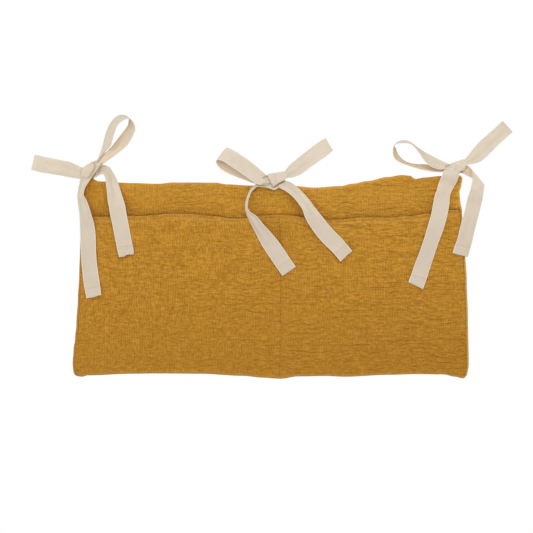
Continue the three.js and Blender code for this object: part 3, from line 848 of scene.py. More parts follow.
pocketWidth = cloth["width"] - 2 * pocket["inset"]
hemU = np.arange(6, pocketWidth - 6, stitchValues["pitch"]) / pocketWidth
hemX, hemZ = pocketOutline(hemU, np.full_like(hemU, pocket["hemDepth"] / pocketDepth))
hemLine = np.stack([hemX, -(pocketBack + pocket["thickness"] + belly(hemX, hemZ) + 0.2), hemZ], axis=-1)
hemWays = np.gradient(hemLine, axis=0)
atTack = (hemX > -8.5) & (hemX < 11.5)
mouthStitches = stitchRow("mouthStitches", hemLine[~atTack], hemWays[~atTack], gauzeThread)

seamZ = np.arange(mouthHeight - 3, -cloth["height"] + 3, -stitchValues["pitch"])
seamX = dividerPlace(seamZ)
seamForward = pocketBack + pocket["thickness"] - 0.32 + belly(seamX, seamZ)
seamLine = np.stack([seamX, -seamForward, seamZ], axis=-1)
dividerWays = np.tile([0.0, 0.0, 1.0], (len(seamLine), 1))
dividerStitches = stitchRow("dividerStitches", seamLine, dividerWays, gauzeThread)

# The divider's top is tacked with heavier stitches, that run a little way along the hem.
tackX, tackZ = np.array([8.4, 10.6, 8.4, 10.6]), mouthHeight - np.array([5.8, 5.8, 9.4, 9.4])
tackForward = pocketBack + pocket["thickness"] + belly(tackX, tackZ) - 0.05
tackLine = np.concatenate([hemLine[atTack], np.stack([tackX, -tackForward, tackZ], axis=-1)]) - (0, 0.15, 0)
tackWays = np.tile([1.0, 0.0, 0.0], (len(tackLine), 1))
tackStitches = stitchRow("tackStitches", tackLine, tackWays, tackThread, length=1.5, width=0.95)
for stitches in (mouthStitches, dividerStitches, tackStitches):
    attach(stitches, "caddy")
print("stitches are made")


# Distances along a line of points, from its start.
def lengthsAlong(line):
    return np.concatenate([[0], np.cumsum(np.linalg.norm(np.diff(line, axis=0), axis=1))])


def smoothed(values, count):
    return np.convolve(np.pad(values, count // 2, mode="edge"), np.ones(count) / count, mode="valid")


# A smooth line through rows of numbers, read at shares of its length.
def readTable(rows, places):
    rows = np.array(rows, float)
    at = np.concatenate([[0], np.cumsum(np.maximum(np.linalg.norm(np.diff(rows, axis=0), axis=1), 0.5))])
    at = at / at[-1]
    slopes = np.gradient(rows, at, axis=0)
    i = np.clip(np.searchsorted(at, places, side="right") - 1, 0, len(at) - 2)
    span = (at[i + 1] - at[i])[:, None]
    t = (places - at[i])[:, None] / span
    a, b, slopeA, slopeB = rows[i], rows[i + 1], slopes[i] * span, slopes[i + 1] * span
    return ((2 * t ** 3 - 3 * t ** 2 + 1) * a + (t ** 3 - 2 * t ** 2 + t) * slopeA
            + (3 * t ** 2 - 2 * t ** 3) * b + (t ** 3 - t ** 2) * slopeB)


# Rows of a table of two edge lines, [x, z, x, z, ...], about one cell apart.
def readEdges(rows):
    middle = (np.array(rows)[:, :2] + np.array(rows)[:, 2:4]) / 2
    return readTable(rows, np.linspace(0, 1, max(16, round(lengthsAlong(middle)[-1] / tapeValues["cell"]))))


# The tables hold places in the picture, counted from a knot's middle. What stands nearer to the camera
# than the cloth does is drawn in towards the picture's middle, so that it is seen at its place.
def placed(tie, x, z, forward):
    kx, kz = knotPlaces[tie]
    nearer = 1 - (forward * mm - cameraValues["clothForward"]) / distance
    across, up = cameraValues["across"] / mm, cameraValues["up"] / mm
    return np.stack([across + (x + kx - across) * nearer, -forward, up + (z + kz - up) * nearer], axis=-1)


def seenAt(tie, places):
    kx, kz = knotPlaces[tie]
    nearer = 1 - (-places[..., 1] * mm - cameraValues["clothForward"]) / distance
    across, up = cameraValues["across"] / mm, cameraValues["up"] / mm
    return across + (places[..., 0] - across) / nearer - kx, up + (places[..., 2] - up) / nearer - kz


# Painted contact shade where tape lies on tape, as [strength, line] about each knot's middle.
contactShadeLines = {
    "left": [
        (0.8, [(10.8, 9.4), (7.6, 4.4), (4.4, -0.2), (1.2, -5), (-0.8, -8.6)]),
        (0.18, [(-13.9, 5), (-15.2, -1), (-15.8, -8.6)]),
        (0.6, [(14.7, 23), (10.5, 17.7), (6.2, 11.8)])],
    "centre": [
        (0.95, [(12.8, -0.6), (4.8, -4.6), (-0.8, -8.8)]),
        (0.7, [(-14.7, 2.6), (-11.5, 4.8), (-9.4, 6)]),
        (0.35, [(-9.2, 5.2), (-6.6, -0.3), (-4.4, -5.6), (-2.2, -9.6)]),
        (0.5, [(-15.5, -5.2), (-11.5, -4.2), (-6.5, -4)])],
    "right": [
        (0.6, [(-15, 1.6), (-11, 3.6), (-9.2, 4.6)]),
        (0.12, [(-8.6, 3), (-4.2, -0.6), (0.2, -3.6), (3, -5.4)]),
        (0.15, [(12.6, 5), (9.6, -1.2), (5.4, -5.4)]),
        (1.0, [(3.4, -5.4), (5.6, -4.4)])],
}


def contactAt(tie, places):
    x, z = seenAt(tie, places)
    dark = np.zeros_like(x)
    for strength, line in contactShadeLines[tie]:
        for (x0, z0), (x1, z1) in zip(line, line[1:]):
            t = ((x - x0) * (x1 - x0) + (z - z0) * (z1 - z0)) / ((x1 - x0) ** 2 + (z1 - z0) ** 2)
            t = np.clip(t, 0, 1)
            away = np.hypot(x - lerp(x0, x1, t), z - lerp(z0, z1, t))
            dark = np.maximum(dark, strength * mark(away, 1.0))
    return dark


tapeValues = {
    "columns": 20, "cell": 1.1,
    "cup": 0.25,      # how far the tape's middle stands out between its edges
    "foldDepth": 0.7, # of the folds along a gathered tape, at most
    "unevenness": 0.3,
    "thinRim": 0.18,  # how much nearer together the two faces are at an edge
}


# A length of tape between two edge lines. It cups, and folds along its way where it is gathered;
# calm stills that row by row, marks adds painted shade to rows and warmth adds painted warm light to those
# inside a loop.
def tapeObject(name, tie, first, second, seed, calm=1.0, marks=0.0, warmth=0.0):
    u = np.linspace(0, 1, tapeValues["columns"] + 1)[None, :]
    calm, marks, warmth = (np.broadcast_to(np.asarray(part, float), len(first))[:, None]
                           for part in (calm, marks, warmth))
    across = second - first
    width = np.linalg.norm(across, axis=1)
    middle = (first + second) / 2
    alongs = lengthsAlong(middle)
    normal = unit(np.cross(unit(np.gradient(middle, axis=0)), unit(across)))
    narrowing = np.clip(tape["width"] / np.maximum(width, 1) - 1, 0, 4)
    depth = np.minimum(width / (1.5 * math.pi) * np.sqrt(narrowing), tapeValues["foldDepth"])[:, None]
    towardsEdge = np.sqrt(np.sin(math.pi * u).clip(0))
    lift = (tapeValues["cup"] * (1 - (2 * u - 1) ** 2)
            + depth * np.sin(3 * math.pi * u + 0.4 * seed) * towardsEdge
            + tapeValues["unevenness"] * (softNoise(alongs[:, None] / 11 + seed, u * 1.3, 60 + seed) - 0.5))
    places = (first[:, None, :] + u[:, :, None] * across[:, None, :]
              + (lift * calm)[:, :, None] * normal[:, None, :])
    attributes = {
        "across": np.broadcast_to((u - 0.5) * tape["width"], places.shape[:2]),
        "along": np.broadcast_to(alongs[:, None], places.shape[:2]),
        "contact": np.maximum(contactAt(tie, places), marks),
        "inside": np.broadcast_to(warmth, places.shape[:2]),
    }
    made = sheetObject(name, places, tape["thickness"], cottonTape, attributes, tapeValues["thinRim"])
    return made, alongs[-1]


# Gives a finished tape to its node, and says how large the tape is when it lies flat.
def takeTape(made, node, length, body="caddy"):
    if body == "caddy":
        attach(made, body)
    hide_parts(node)
    print(node, "length", round(length))


def nameOf(node):
    return node.replace("_", "") + "Tape"


# A flat loop is pressed flat: the tape runs out, folds over at its tip and comes back behind itself.
# Each row is the upper edge and the lower edge, [x, z, x, z] from the knot's middle.
flatLoops = {
    "left_flat_loop": ("left", [
        (-5.1, 5, -6.5, -6.5), (-13.9, 5, -15.3, -9.8), (-20.3, 7.8, -21.2, -8.6),
        (-27.2, 11, -29.5, -7), (-40.6, 14.2, -43.4, -4.2), (-54.4, 17, -57.2, -2.2),
        (-66.4, 19.7, -70.1, -0.5), (-72.9, 21.1, -77.5, 1.3)]),
    "centre_flat_loop": ("centre", [
        (7.2, 7.6, 6.2, -0.6), (12.8, 11.9, 13.8, 2.3), (17.9, 18.6, 22.5, 3.8),
        (26.6, 26.2, 32.7, 8.1), (36.8, 34.4, 43.4, 15.8), (47, 42.3, 55.1, 24.2),
        (55.1, 48.4, 64.3, 30), (62.8, 53, 72.6, 36.1)]),
    "right_flat_loop": ("right", [
        (3, 7, 4, 0.6), (7.8, 10.2, 12, 4.6), (14.2, 17.1, 21.1, 6.2),
        (20, 24.9, 29.1, 9.1), (27.5, 33.4, 38.2, 16.6), (37.1, 42, 48.9, 27),
        (46.7, 50.5, 59, 36.3), (56.3, 59.5, 69.4, 44.9)]),
}
flatLoopValues = {"apart": 1.15, "bulge": 1.6, "tipRadius": 0.95, "slip": 0.7}


def flatLoopEdges(tie, rows):
    values = flatLoopValues
    legs = readEdges(rows)
    places = np.linspace(0, 1, len(legs))
    gap = values["apart"] + values["bulge"] * np.sin(np.pi * places) ** 2
    gap = lerp(gap, values["tipRadius"], smooth((places - 0.85) / 0.15))
    ahead = legs[-1] - legs[-4]
    out = unit(np.array([ahead[0] + ahead[2], ahead[1] + ahead[3]])) * values["tipRadius"]
    angle = np.linspace(0, math.pi, 9)[1:-1]
    edges = []
    for side in (legs[:, :2], legs[:, 2:]):
        front = placed(tie, side[:, 0], side[:, 1], knotForward + gap)
        tip = placed(tie, side[-1, 0] + out[0] * np.sin(angle), side[-1, 1] + out[1] * np.sin(angle),
                     knotForward + values["tipRadius"] * np.cos(angle))
        slip = values["slip"] * np.sin(np.pi * places)
        back = placed(tie, side[::-1, 0], side[::-1, 1] - slip, knotForward - gap[::-1])
        edges.append(np.concatenate([front, tip, back]))
    still = np.concatenate([1 - smooth((places - 0.9) / 0.1), np.zeros(len(angle)), smooth(places / 0.1)])
    return edges[0], edges[1], still


for seed, (node, (tie, rows)) in enumerate(flatLoops.items()):
    upper, lower, still = flatLoopEdges(tie, rows)
    loop, length = tapeObject(nameOf(node), tie, upper, lower, seed, calm=still)
    takeTape(loop, node, length)

# An open loop stands off the cloth on its edge. Each row is the edge away from the viewer and the edge
# towards the viewer, [x, z, x, z], then the gathering of the tape there, and how far forward it stands.
openLoops = {
    "left_open_loop": ("left", [
        (-3.9, 0.2, -0.7, -1.6, 0.3, 0.2), (1.1, 10.8, 5.5, 9, 0.3, 0), (5.8, 15.9, 10.1, 15.9, 0.36, 0.2),
        (9, 24.2, 15.4, 24.2, 0.5, 1.6), (11.8, 33.4, 21.9, 31.6, 0.76, 5.2),
        (15.4, 46.8, 26, 45.9, 1, 9.5),
        (22.4, 62, 32.5, 60, 1, 12.5), (27.9, 68.3, 36.7, 63.4, 1, 13.6), (33.9, 71.4, 40.8, 65.7, 1, 14.2),
        (39.4, 71.1, 44.5, 66.4, 1, 14.5), (44.5, 68.3, 47.3, 65.9, 1, 14.5), (45, 63.4, 50.5, 62.5, 1, 14),
        (44.4, 59.5, 52.8, 57.4, 1, 13.3), (42.7, 56, 53.3, 52.8, 1, 12.4), (38.9, 51, 51.4, 47.3, 1, 11.2),
        (33.8, 44.5, 47.7, 39.9, 1, 9.4), (28.3, 37.6, 42.2, 32, 1, 7), (22.6, 30.2, 34.8, 25.6, 0.8, 6.2),
        (16.7, 24.2, 25.6, 18.5, 0.56, 5.2), (10.7, 18.6, 16.4, 11.8, 0.45, 4.2),
        (6.1, 12.6, 10.8, 7.6, 0.36, 3.2),
        (-0.3, -1, 3.5, -3.5, 0.3, 1.6)]),
    "centre_open_loop": ("centre", [
        (-3.1, 1.3, -7.2, -4.8, 0.45, 1), (-10.2, 5.5, -20.4, -5.4, 0.8, 2.5),
        (-15.3, 10.4, -26.5, -3, 0.9, 4),
        (-23.5, 17.4, -34.7, 2.8, 0.95, 6.5), (-32.6, 24.7, -43.9, 9.2, 0.98, 9),
        (-41.8, 31, -53, 15.5, 0.98, 10.8),
        (-51, 36.9, -61.7, 21.5, 0.98, 11.5), (-57.6, 40.3, -68.3, 24.9, 0.99, 10.6),
        (-61.7, 40.7, -73.9, 25.2, 1, 8.2),
        (-63.7, 37.5, -74.6, 22.2, 1, 5), (-60.7, 31.8, -71.9, 17.1, 1, 2.4),
        (-53.5, 27.3, -65.3, 11.5, 1, 0.8),
        (-39.8, 22.2, -51, 4.8, 1, -0.2), (-27.6, 15.5, -37.7, -0.3, 0.94, -0.8),
        (-17.4, 4.3, -26.5, -4.3, 0.7, -1),
        (-5.1, 0.2, -9.2, -5.4, 0.45, -1)]),
    "right_open_loop": ("right", [
        (-5.4, 3.3, -6.4, -1, 0.45, 1), (-10.7, 4.9, -14.5, -0.1, 0.6, 1.8),
        (-17.1, 8.1, -21.4, -1.4, 0.8, 2.6),
        (-24.6, 11.8, -29.9, 0.7, 0.95, 3.8), (-32.6, 15.9, -37.4, 5.2, 1, 5),
        (-39.6, 19.3, -42.8, 11, 1, 6),
        (-46, 23.4, -47.6, 18.2, 1, 6.9), (-52.4, 28.1, -53.4, 25.5, 1, 7.6),
        (-58.8, 32.6, -58.8, 30.2, 1, 8.2),
        (-65.2, 35.3, -65.2, 31.8, 1, 8.6), (-71.6, 34.8, -71, 31.7, 1, 8.9),
        (-77.5, 31.8, -76.9, 30.8, 1, 9),
        (-80.1, 28.7, -80.1, 28.5, 1, 9), (-78.2, 25.3, -81.6, 23.6, 1, 8.8),
        (-75.9, 19.3, -81.6, 18.2, 1, 8.4),
        (-71.6, 13.4, -79.1, 11.8, 1, 7.9), (-66.2, 9.2, -71.6, 7, 1, 7.2), (-58.8, 6.3, -62, 3.3, 1, 6.2),
        (-49.2, 5.2, -52.4, 0.3, 1, 4.8), (-39.6, 4.9, -41.7, -2.8, 0.96, 3.2),
        (-29.9, 2.2, -31, -4.5, 0.8, 1.4),
        (-22.5, 0.6, -22.5, -5, 0.62, 0), (-11.8, -1, -11.8, -4.7, 0.45, -1)]),
}

# Painted warm light, for light that comes through the tape, on the faces inside a loop.
loopWarmth = {"left": 0.4, "centre": 0.6, "right": 0.7}

for seed, (node, (tie, rows)) in enumerate(openLoops.items()):
    read = readEdges(rows)
    apart = np.hypot(read[:, 2] - read[:, 0], read[:, 3] - read[:, 1])
    whole = tape["width"] * read[:, 4]
    standing = smoothed(np.sqrt(np.maximum(whole ** 2 - apart ** 2, 0.05 * whole ** 2)), 11)
    forward = np.maximum(knotForward + read[:, 5], standing / 2 + 1.0)
    far = placed(tie, read[:, 0], read[:, 1], forward - standing / 2)
    near = placed(tie, read[:, 2], read[:, 3], forward + standing / 2)
    tip = np.argmax(np.hypot(read[:, 0] + read[:, 2], read[:, 1] + read[:, 3]))
    returning = smooth((np.arange(len(read)) - tip) / 10)
    loop, length = tapeObject(nameOf(node), tie, far, near, seed + 5, warmth=loopWarmth[tie] * returning)
    takeTape(loop, node, length)
print("loops are made")

# A tail hangs from a knot down the cloth. Each row is its two edges, [x, z, x, z] from the knot's middle;
# "near" says which of them stands towards the viewer, and "lift" how far it leaves the knot ahead of it.
tails = {
    "left_outer_tail": {"tie": "left", "body": "left_outer_tape", "near": 1, "lift": 2.2, "rows": [
        (-14.4, 0.3, -0.9, -1.7), (-16.2, -9, -2.8, -8.8), (-18.1, -18.2, -7.9, -16.4),
        (-19.5, -25.7, -11.4, -23.8),
        (-20.1, -30.2, -12.5, -30.2), (-19.9, -35.7, -10.1, -34.2), (-19.2, -43.7, -6.7, -42),
        (-17.7, -54, -2.9, -53.7),
        (-17.3, -64.7, 0.3, -64.2), (-16.9, -76.7, 2.5, -76.2), (-16.6, -88.3, 3.1, -87.7),
        (-15.7, -101.7, 3.4, -101.2),
        (-14.9, -116.2, 4.4, -115.2), (-13.4, -129.7, 6.1, -128.2), (-11.6, -144.7, 8.1, -141.7),
        (-8.3, -161.8, 9.9, -157.4)]},
    "left_inner_tail": {"tie": "left", "body": "left_inner_tape", "near": 0, "lift": -1, "rows": [
        (-3.3, -5.7, 3.7, 3.3), (0.6, -8.1, 9.7, 7.1), (4.2, -7.5, 13.7, 7.9), (8.2, -4.5, 17.7, 6.9),
        (11.9, -3.7, 21.2, 4.5),
        (14.8, -7.2, 24.2, -0.2), (15.8, -12.7, 28.1, -7), (16.4, -18.7, 30.9, -13.7),
        (17.3, -25.7, 33.7, -21.9),
        (18.3, -36.3, 37.1, -32.9), (20.1, -46.7, 40, -42.2), (21.9, -57.2, 41.9, -52.7),
        (24.3, -68, 44, -64),
        (26.6, -79.7, 46.3, -75.7), (28.9, -91.7, 48.5, -87.7), (31.1, -101.2, 50.6, -97.2),
        (33.2, -109.4, 51.4, -105.1)]},
    "centre_left_tail": {"tie": "centre", "body": "centre_left_tape", "near": 1, "lift": 1,
                         "stand": 0.2, "rows": [
        (-2, 5.5, 4, -10), (-8.9, 3.2, -1, -12.3), (-13.5, 1, -6.5, -10.8), (-17.3, -1, -12, -9.3),
        (-21.5, -3.3, -17.5, -8.7), (-25.2, -5.7, -22, -8.3), (-29, -9.3, -26.3, -11.3),
        (-32, -13, -29.9, -15.2),
        (-35.2, -20, -32.3, -21), (-37.3, -27.5, -34.4, -28), (-37.9, -34.5, -34.6, -35),
        (-36.8, -41.5, -32, -39.8),
        (-33.5, -49.3, -24.7, -44.6), (-29.8, -57, -19.8, -50), (-25.7, -65.2, -15.1, -55.7),
        (-19.4, -77.7, -4.6, -67.2), (-12.5, -89.5, 4, -77.5), (-5, -100.5, 11.8, -88.5),
        (1.6, -110.3, 18.5, -98.8),
        (9.6, -121.9, 26.3, -110.3)]},
    "centre_right_tail": {"tie": "centre", "body": "centre_right_tape", "near": 0, "lift": 0.5, "rows": [
        (-1.7, -5.5, 7.3, 4.5), (3.8, -9.1, 12.4, -0.5), (9.8, -11.8, 17.8, -2), (15.6, -15.2, 24, -5.7),
        (20.3, -18.9, 28.3, -8.9), (25.5, -24.1, 32.9, -13.3), (30.1, -29.9, 38.3, -19.1),
        (34.5, -36.3, 44, -25.7),
        (37.7, -45.6, 50.1, -34), (41.9, -54.1, 56.1, -41.8), (47.2, -62.5, 62.7, -49.9),
        (53.1, -70.7, 68.3, -57.1),
        (57.7, -76.2, 73.3, -62.7), (68.2, -86.7, 82.7, -72), (76.1, -94.7, 90.9, -81.5),
        (83.6, -103.7, 98.2, -90.3)]},
    "right_inner_tail": {"tie": "right", "body": "right_inner_tape", "near": 0, "lift": 5, "rows": [
        (-7.7, 6.5, 6.3, -0.5), (-12.2, 2, 3.8, -4), (-16.5, -1.8, 2.7, -7.2), (-19.1, -8, 1.5, -11.5),
        (-21.7, -13.8, -0.5, -17), (-24, -20, -3.7, -22.5), (-26.1, -27.5, -6.9, -28.5),
        (-28.3, -33.9, -9, -33.9),
        (-30.6, -44.6, -10.3, -46), (-33.3, -59, -13.1, -61), (-37.5, -73.5, -17.6, -77),
        (-42.7, -90.9, -23.5, -93), (-48.1, -106.5, -29.2, -110), (-53.8, -121.2, -34.9, -127),
        (-58.7, -135.5, -39.3, -141), (-62.2, -144.5, -44, -154)]},
}
tailValues = {"clear": 0.75, "hemRadius": 0.55, "hemRise": 0.8, "bendLength": 34, "stand": 0.6}


# The level of the cloth's front, counted forwards from the back of the lining.
def clothLevel(x, z):
    front = pocketBack + belly(x, np.minimum(z, mouthHeight)) + pocket["thickness"] + 0.35
    top = np.minimum(z, 0)
    panel = panelFront + np.maximum(sway(x, top), seamSwellAt(x, top))
    return lerp(panel, front, smooth(1.2 * z / mouthHeight))


# How wide a tape is at a distance past its knot, which gathers it to half its width.
def gathered(away):
    return tape["width"] * (0.5 + 0.5 * smooth(away / tape["width"]))


# How far forward a tail's two edges are: it rests on the cloth, and leans into the knot at its top.
def restingEdges(tie, far, near, lift, stand):
    kx, kz = knotPlaces[tie]

    def under(share):
        place = lerp(far, near, share)
        return clothLevel(place[:, 0] + kx, place[:, 1] + kz) + tailValues["clear"]

    away = np.hypot(*((far + near) / 2).T) - knot["height"] / 2
    apart = np.linalg.norm(near - far, axis=1)
    whole = lerp(apart, np.maximum(gathered(away), apart), stand)
    standing = smoothed(np.sqrt(whole ** 2 - apart ** 2), 9)
    low = under(0)
    high = np.maximum(under(1), low + standing)
    short = np.max([under(s) - lerp(low, high, s) for s in (0.25, 0.5, 0.75)], axis=0)
    low, high = low + np.maximum(short, 0), high + np.maximum(short, 0)
    past = smooth(away / tape["width"])
    low = np.maximum(low, lerp(knotForward + lift - standing / 2, low, past))
    high = np.maximum(high, lerp(knotForward + lift + standing / 2, high, past))
    return smoothed(low, 11), smoothed(high, 11)


# Both edge lines go on round the end of the tape, and back behind it by the hem's length.
def hemmed(first, second):
    first, second = first[:-1], second[:-1]
    way = unit((first[-1] + second[-1]) / 2 - (first[-3] + second[-3]) / 2)
    behind = unit(np.cross(way, second[-1] - first[-1]))
    behind = behind if behind[1] > 0 else -behind
    radius = tailValues["hemRadius"]
    lengths = lengthsAlong((first + second) / 2)
    backs = np.linspace(0, tape["hem"], 11)[1:]
    angles = np.linspace(0, math.pi, 7)[1:, None]
    hems = []
    for line in (first, second):
        turn = line[-1] + way * radius * np.sin(angles) + behind * radius * (1 - np.cos(angles))
        under = np.stack([np.interp(lengths[-1] - backs, lengths, line[:, k]) for k in range(3)], axis=1)
        hems.append(np.concatenate([line, turn, under + behind * 2 * radius]))
    return hems


# Hems a tail and makes it.
def finishTail(node, tie, body, far, near, seed, warmth=0.0):
    middle = (far + near) / 2
    lengths = lengthsAlong(middle)
    fromEnd = lengths[-1] - lengths
    rise = tailValues["hemRise"] * (1 - smooth((fromEnd - tape["hem"]) / 8))[:, None] * np.array([0, -1, 0])
    far, near = far + rise, near + rise
    hemFar, hemNear = hemmed(far, near)
    # Painted shade along the line where the hem ends.
    marks = np.zeros(len(hemFar))
    marks[:len(far) - 1] = 0.12 * mark(fromEnd[:-1] - tape["hem"], 0.8)
    paintedWarmLight = np.zeros(len(hemFar))
    paintedWarmLight[:len(far)] = warmth
    tail, length = tapeObject(nameOf(node), tie, hemFar, hemNear, seed, marks=marks, warmth=paintedWarmLight)
    takeTape(tail, node, length, body)
    kx, kz = knotPlaces[tie]
    top = Vector((kx, -knotForward, kz)) * mm
    low = Vector(middle[np.searchsorted(lengths, tailValues["bendLength"])]) * mm
    tuple(lerp(top, low, 0.15))
    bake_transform(tail)

    # The hem's row of stitches lies across the tape.
    at = np.searchsorted(lengths, lengths[-1] - tape["hem"] + 1.6)
    across = near[at] - far[at]
    front = unit(np.cross(middle[at + 1] - middle[at - 1], across))
    front = front if front[1] < 0 else -front
    shares = np.linspace(0.06, 0.94, 7)[:, None]
    cup = tapeValues["cup"] * (1 - (2 * shares - 1) ** 2)
    line = far[at] + across * shares + front * (tape["thickness"] / 2 + 0.08 + cup)
    stitches = stitchRow(node.replace("_", "") + "Stitches", line, np.tile(across, (7, 1)), tapeThread,
                         outward=tuple(front), length=2.1)
    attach(stitches, body)


for seed, (node, tail) in enumerate(tails.items()):
    read = readEdges(tail["rows"])
    edges = (read[:, :2], read[:, 2:])
    far, near = edges[1 - tail["near"]], edges[tail["near"]]
    low, high = restingEdges(tail["tie"], far, near, tail["lift"], tail.get("stand", tailValues["stand"]))
    finishTail(node, tail["tie"], tail["body"], placed(tail["tie"], far[:, 0], far[:, 1], low),
               placed(tail["tie"], near[:, 0], near[:, 1], high), seed + 9)

# The right bow's outer tail leaves behind the knot and folds over itself on a slant before it hangs.
# Each row is its outer edge and its inner edge, [x, z, x, z], and how far forward the two stand.
foldedTail = [
    (0.6, -2.9, 3.8, 3.5, 9, 9), (6.4, -6.6, 11.8, 3.5, 8.6, 10), (15, -10.9, 12.5, 3.7, 8.4, 11.5),
    (24.6, -15.5, 12.8, 3.8, 8.6, 12.6), (32.6, -19.1, 13, 3.6, 9.6, 13.8),
    (34.5, -21.6, 15, 1.9, 11.4, 15.2),
    (34, -25.3, 18.2, -2.8, 12.8, 15.4), (33.4, -30.1, 19.2, -12.3, 12.6, 13.6),
    (32.6, -36.5, 17.2, -24, 11.6, 11.2), (31.1, -43.7, 12.8, -38, 10.4, 9.6),
    (28.1, -55.9, 9.9, -50.5, 9.4, 8.8), (24.9, -68.1, 6.5, -63.1, 9, 8.6),
    (21.9, -80.1, 3.3, -75.7, 8.8, 8.4),
    (19.1, -92.1, 0.3, -88.3, 8.6, 8.2), (15.7, -104.5, -3.7, -100.1, 8.4, 8),
    (13.2, -112.9, -5.9, -107.7, 8.4, 8)]
read = readTable(foldedTail, np.linspace(0, 1, 130))
kx, kz = knotPlaces["right"]
hangs = smooth((np.linspace(0, 1, len(read)) - 0.36) / 0.2)
folded = []
for x, z, forward in (read[:, (0, 1, 4)].T, read[:, (2, 3, 5)].T):
    level = np.maximum(clothLevel(x + kx, z + kz) + tailValues["clear"], 5.5)
    folded.append(placed("right", x, z, lerp(forward, level, hangs)))
# Painted warm light on the tail's first part, before it folds over.
warmLightBehindFold = 0.7 * (1 - smooth((np.linspace(0, 1, len(read)) - 0.2) / 0.08))
finishTail("right_outer_tail", "right", "right_outer_tape", folded[1], folded[0], 16, warmLightBehindFold)
print("tails are made")

# A seam tab is a tape end that is folded over the bow: one leg goes up behind and one comes down in
# front, and the top seam holds both.
tabValues = {
    "apart": 0.65, "neck": 0.45, "neckBelow": 8, "rows": 26,
    "lean": {"left": -7, "centre": 0, "right": 0},
}
for seed, tie in enumerate(("left", "centre", "right")):
    kx, kz = knotPlaces[tie]
    lowest = 1.5 * tape["seamDepth"] / cloth["height"]
    beside = tape["width"] / 2 + tape["seamMargin"]
    sides = [float(panelOutline(share, lowest)[0]) for share in (0.0, 1.0)]
    sewnAt = min(max(kx, sides[0] + beside), sides[1] - beside) - kx
    shares = np.array([-0.5, 0, 0.5]) * tape["width"] + kx
    edge = float(max(panelOutline(shares / cloth["width"] + 0.5, np.zeros(3))[1]))
    z = np.linspace(-tape["seamDepth"], kz, tabValues["rows"])
    bend = smooth((z - edge) / max(kz - edge, knot["height"] / 2))
    forward = lerp(liningFront + tapeStack / 2, knotForward, bend)
    fromNeck = z - edge + tabValues["neckBelow"]
    narrowed = smooth(fromNeck / (kz - edge + tabValues["neckBelow"]))
    half = tape["width"] / 2 * (1 - tabValues["neck"] * narrowed)
    lean = tabValues["lean"][tie] * smooth(z / tape["seamDepth"] + 1)
    angles = np.linspace(0, math.pi, 7)[1:-1]
    edges = []
    for side in (-1, 1):
        x = kx + sewnAt * (1 - bend) + lean + side * half
        back = np.stack([x, tabValues["apart"] - forward, z], axis=1)
        turn = np.stack([np.full(5, x[-1]), tabValues["apart"] * np.cos(angles) - forward[-1],
                         z[-1] + tabValues["apart"] * np.sin(angles)], axis=1)
        front = np.stack([x, -tabValues["apart"] - forward, z], axis=1)[::-1]
        edges.append(np.concatenate([back, turn, front]))
    tab, length = tapeObject(tie + "SeamTabTape", tie, edges[0], edges[1], seed + 20, calm=0.0)
    takeTape(tab, tie + "_seam_tab", length)

# A knot: a short wrap of tape over the middle of the bow, round a core of gathered tape. Each row is its
# left and right edge, [x, z, x, z, forward, forward] from behind the top, over the front and back below.
# A pleat runs down the wrap at a share of its width, from pleatTop to pleatBottom, and the tape beside it
# lies a step lower. dark is the strength of painted shade along the pleat's line, and beside that of
# painted shade on the lower tape.
wraps = {
    "left": {
        "core": (-4, 2), "pleatTop": 0.7, "pleatBottom": 0.6, "step": -0.8, "dark": 0.45, "beside": 0.22,
        "rows": [
        (-10.5, 1, 2, 8, -4, -4), (-13.2, 4, 2.6, 14, -1.5, -2), (-13.9, 4.4, 4.2, 15.2, 1.2, 0.2),
        (-14.3, 2, 9.6, 11.2, 3.6, 1.6), (-14.7, -1.4, 8.4, 5.2, 4.8, 2.4),
        (-15.1, -4.8, 4, -1.4, 4.8, 2.8),
        (-15.3, -7.6, 0.2, -6.6, 3.8, 2.6), (-14.6, -8.9, -1.8, -9.2, 2, 1.2),
        (-12, -8, -2.6, -8, -1, -1.5),
        (-10, -4, -1, -3, -4, -4), (-10, -1, 0, 2, -4.4, -4.4)]},
    "centre": {
        "core": (1.5, 3), "pleatTop": 0.3, "pleatBottom": 0.45, "step": -0.25, "dark": 0.12, "beside": 0,
        "rows": [
        (-6, 3, 9, 7, -4, -4), (-8.8, 6.4, 12, 10.6, -1.6, -1.6), (-9.6, 7.2, 13.6, 11.6, 1, 0.8),
        (-8.9, 5.2, 14.8, 8.2, 3.6, 3.2), (-7.2, 1.8, 13.9, 2.4, 5, 4.2),
        (-5.6, -1.8, 10.2, -1.6, 5.2, 4.4),
        (-4, -5.4, 4.6, -4.6, 4.6, 4.2), (-2.4, -8.4, 0.4, -7.8, 3.4, 3.4),
        (-1.8, -9.4, -0.6, -9.2, 1.6, 1.6),
        (-2, -6.5, 1, -6.5, -2.5, -2.5), (-3, -2, 4, -1, -4.2, -4.2)]},
    "right": {
        "core": (1, 3), "pleatTop": 0.35, "pleatBottom": 0.4, "step": -0.25, "dark": 0.12, "beside": 0,
        "rows": [
        (-6, 2, 6, 7, -4, -4), (-9, 4.4, 7.6, 11, -1.6, -1.6), (-9.4, 5.2, 8.8, 12.1, 0.8, 0.8),
        (-8.8, 3.4, 12, 7.4, 3.2, 2.4), (-6.2, 0.9, 11.4, 3.2, 4.5, 3.2), (-2.8, -1.4, 9.6, -0.6, 4.7, 3.6),
        (0.4, -3.6, 7.6, -3.2, 4.2, 3.4), (2.8, -5.2, 5.4, -5.2, 2.8, 2.4),
        (3.4, -5.6, 4.8, -5.6, 0.8, 0.8),
        (1.5, -3.5, 4, -3.5, -2.5, -2.5), (-1, 0, 4, 1, -4.2, -4.2)]},
}
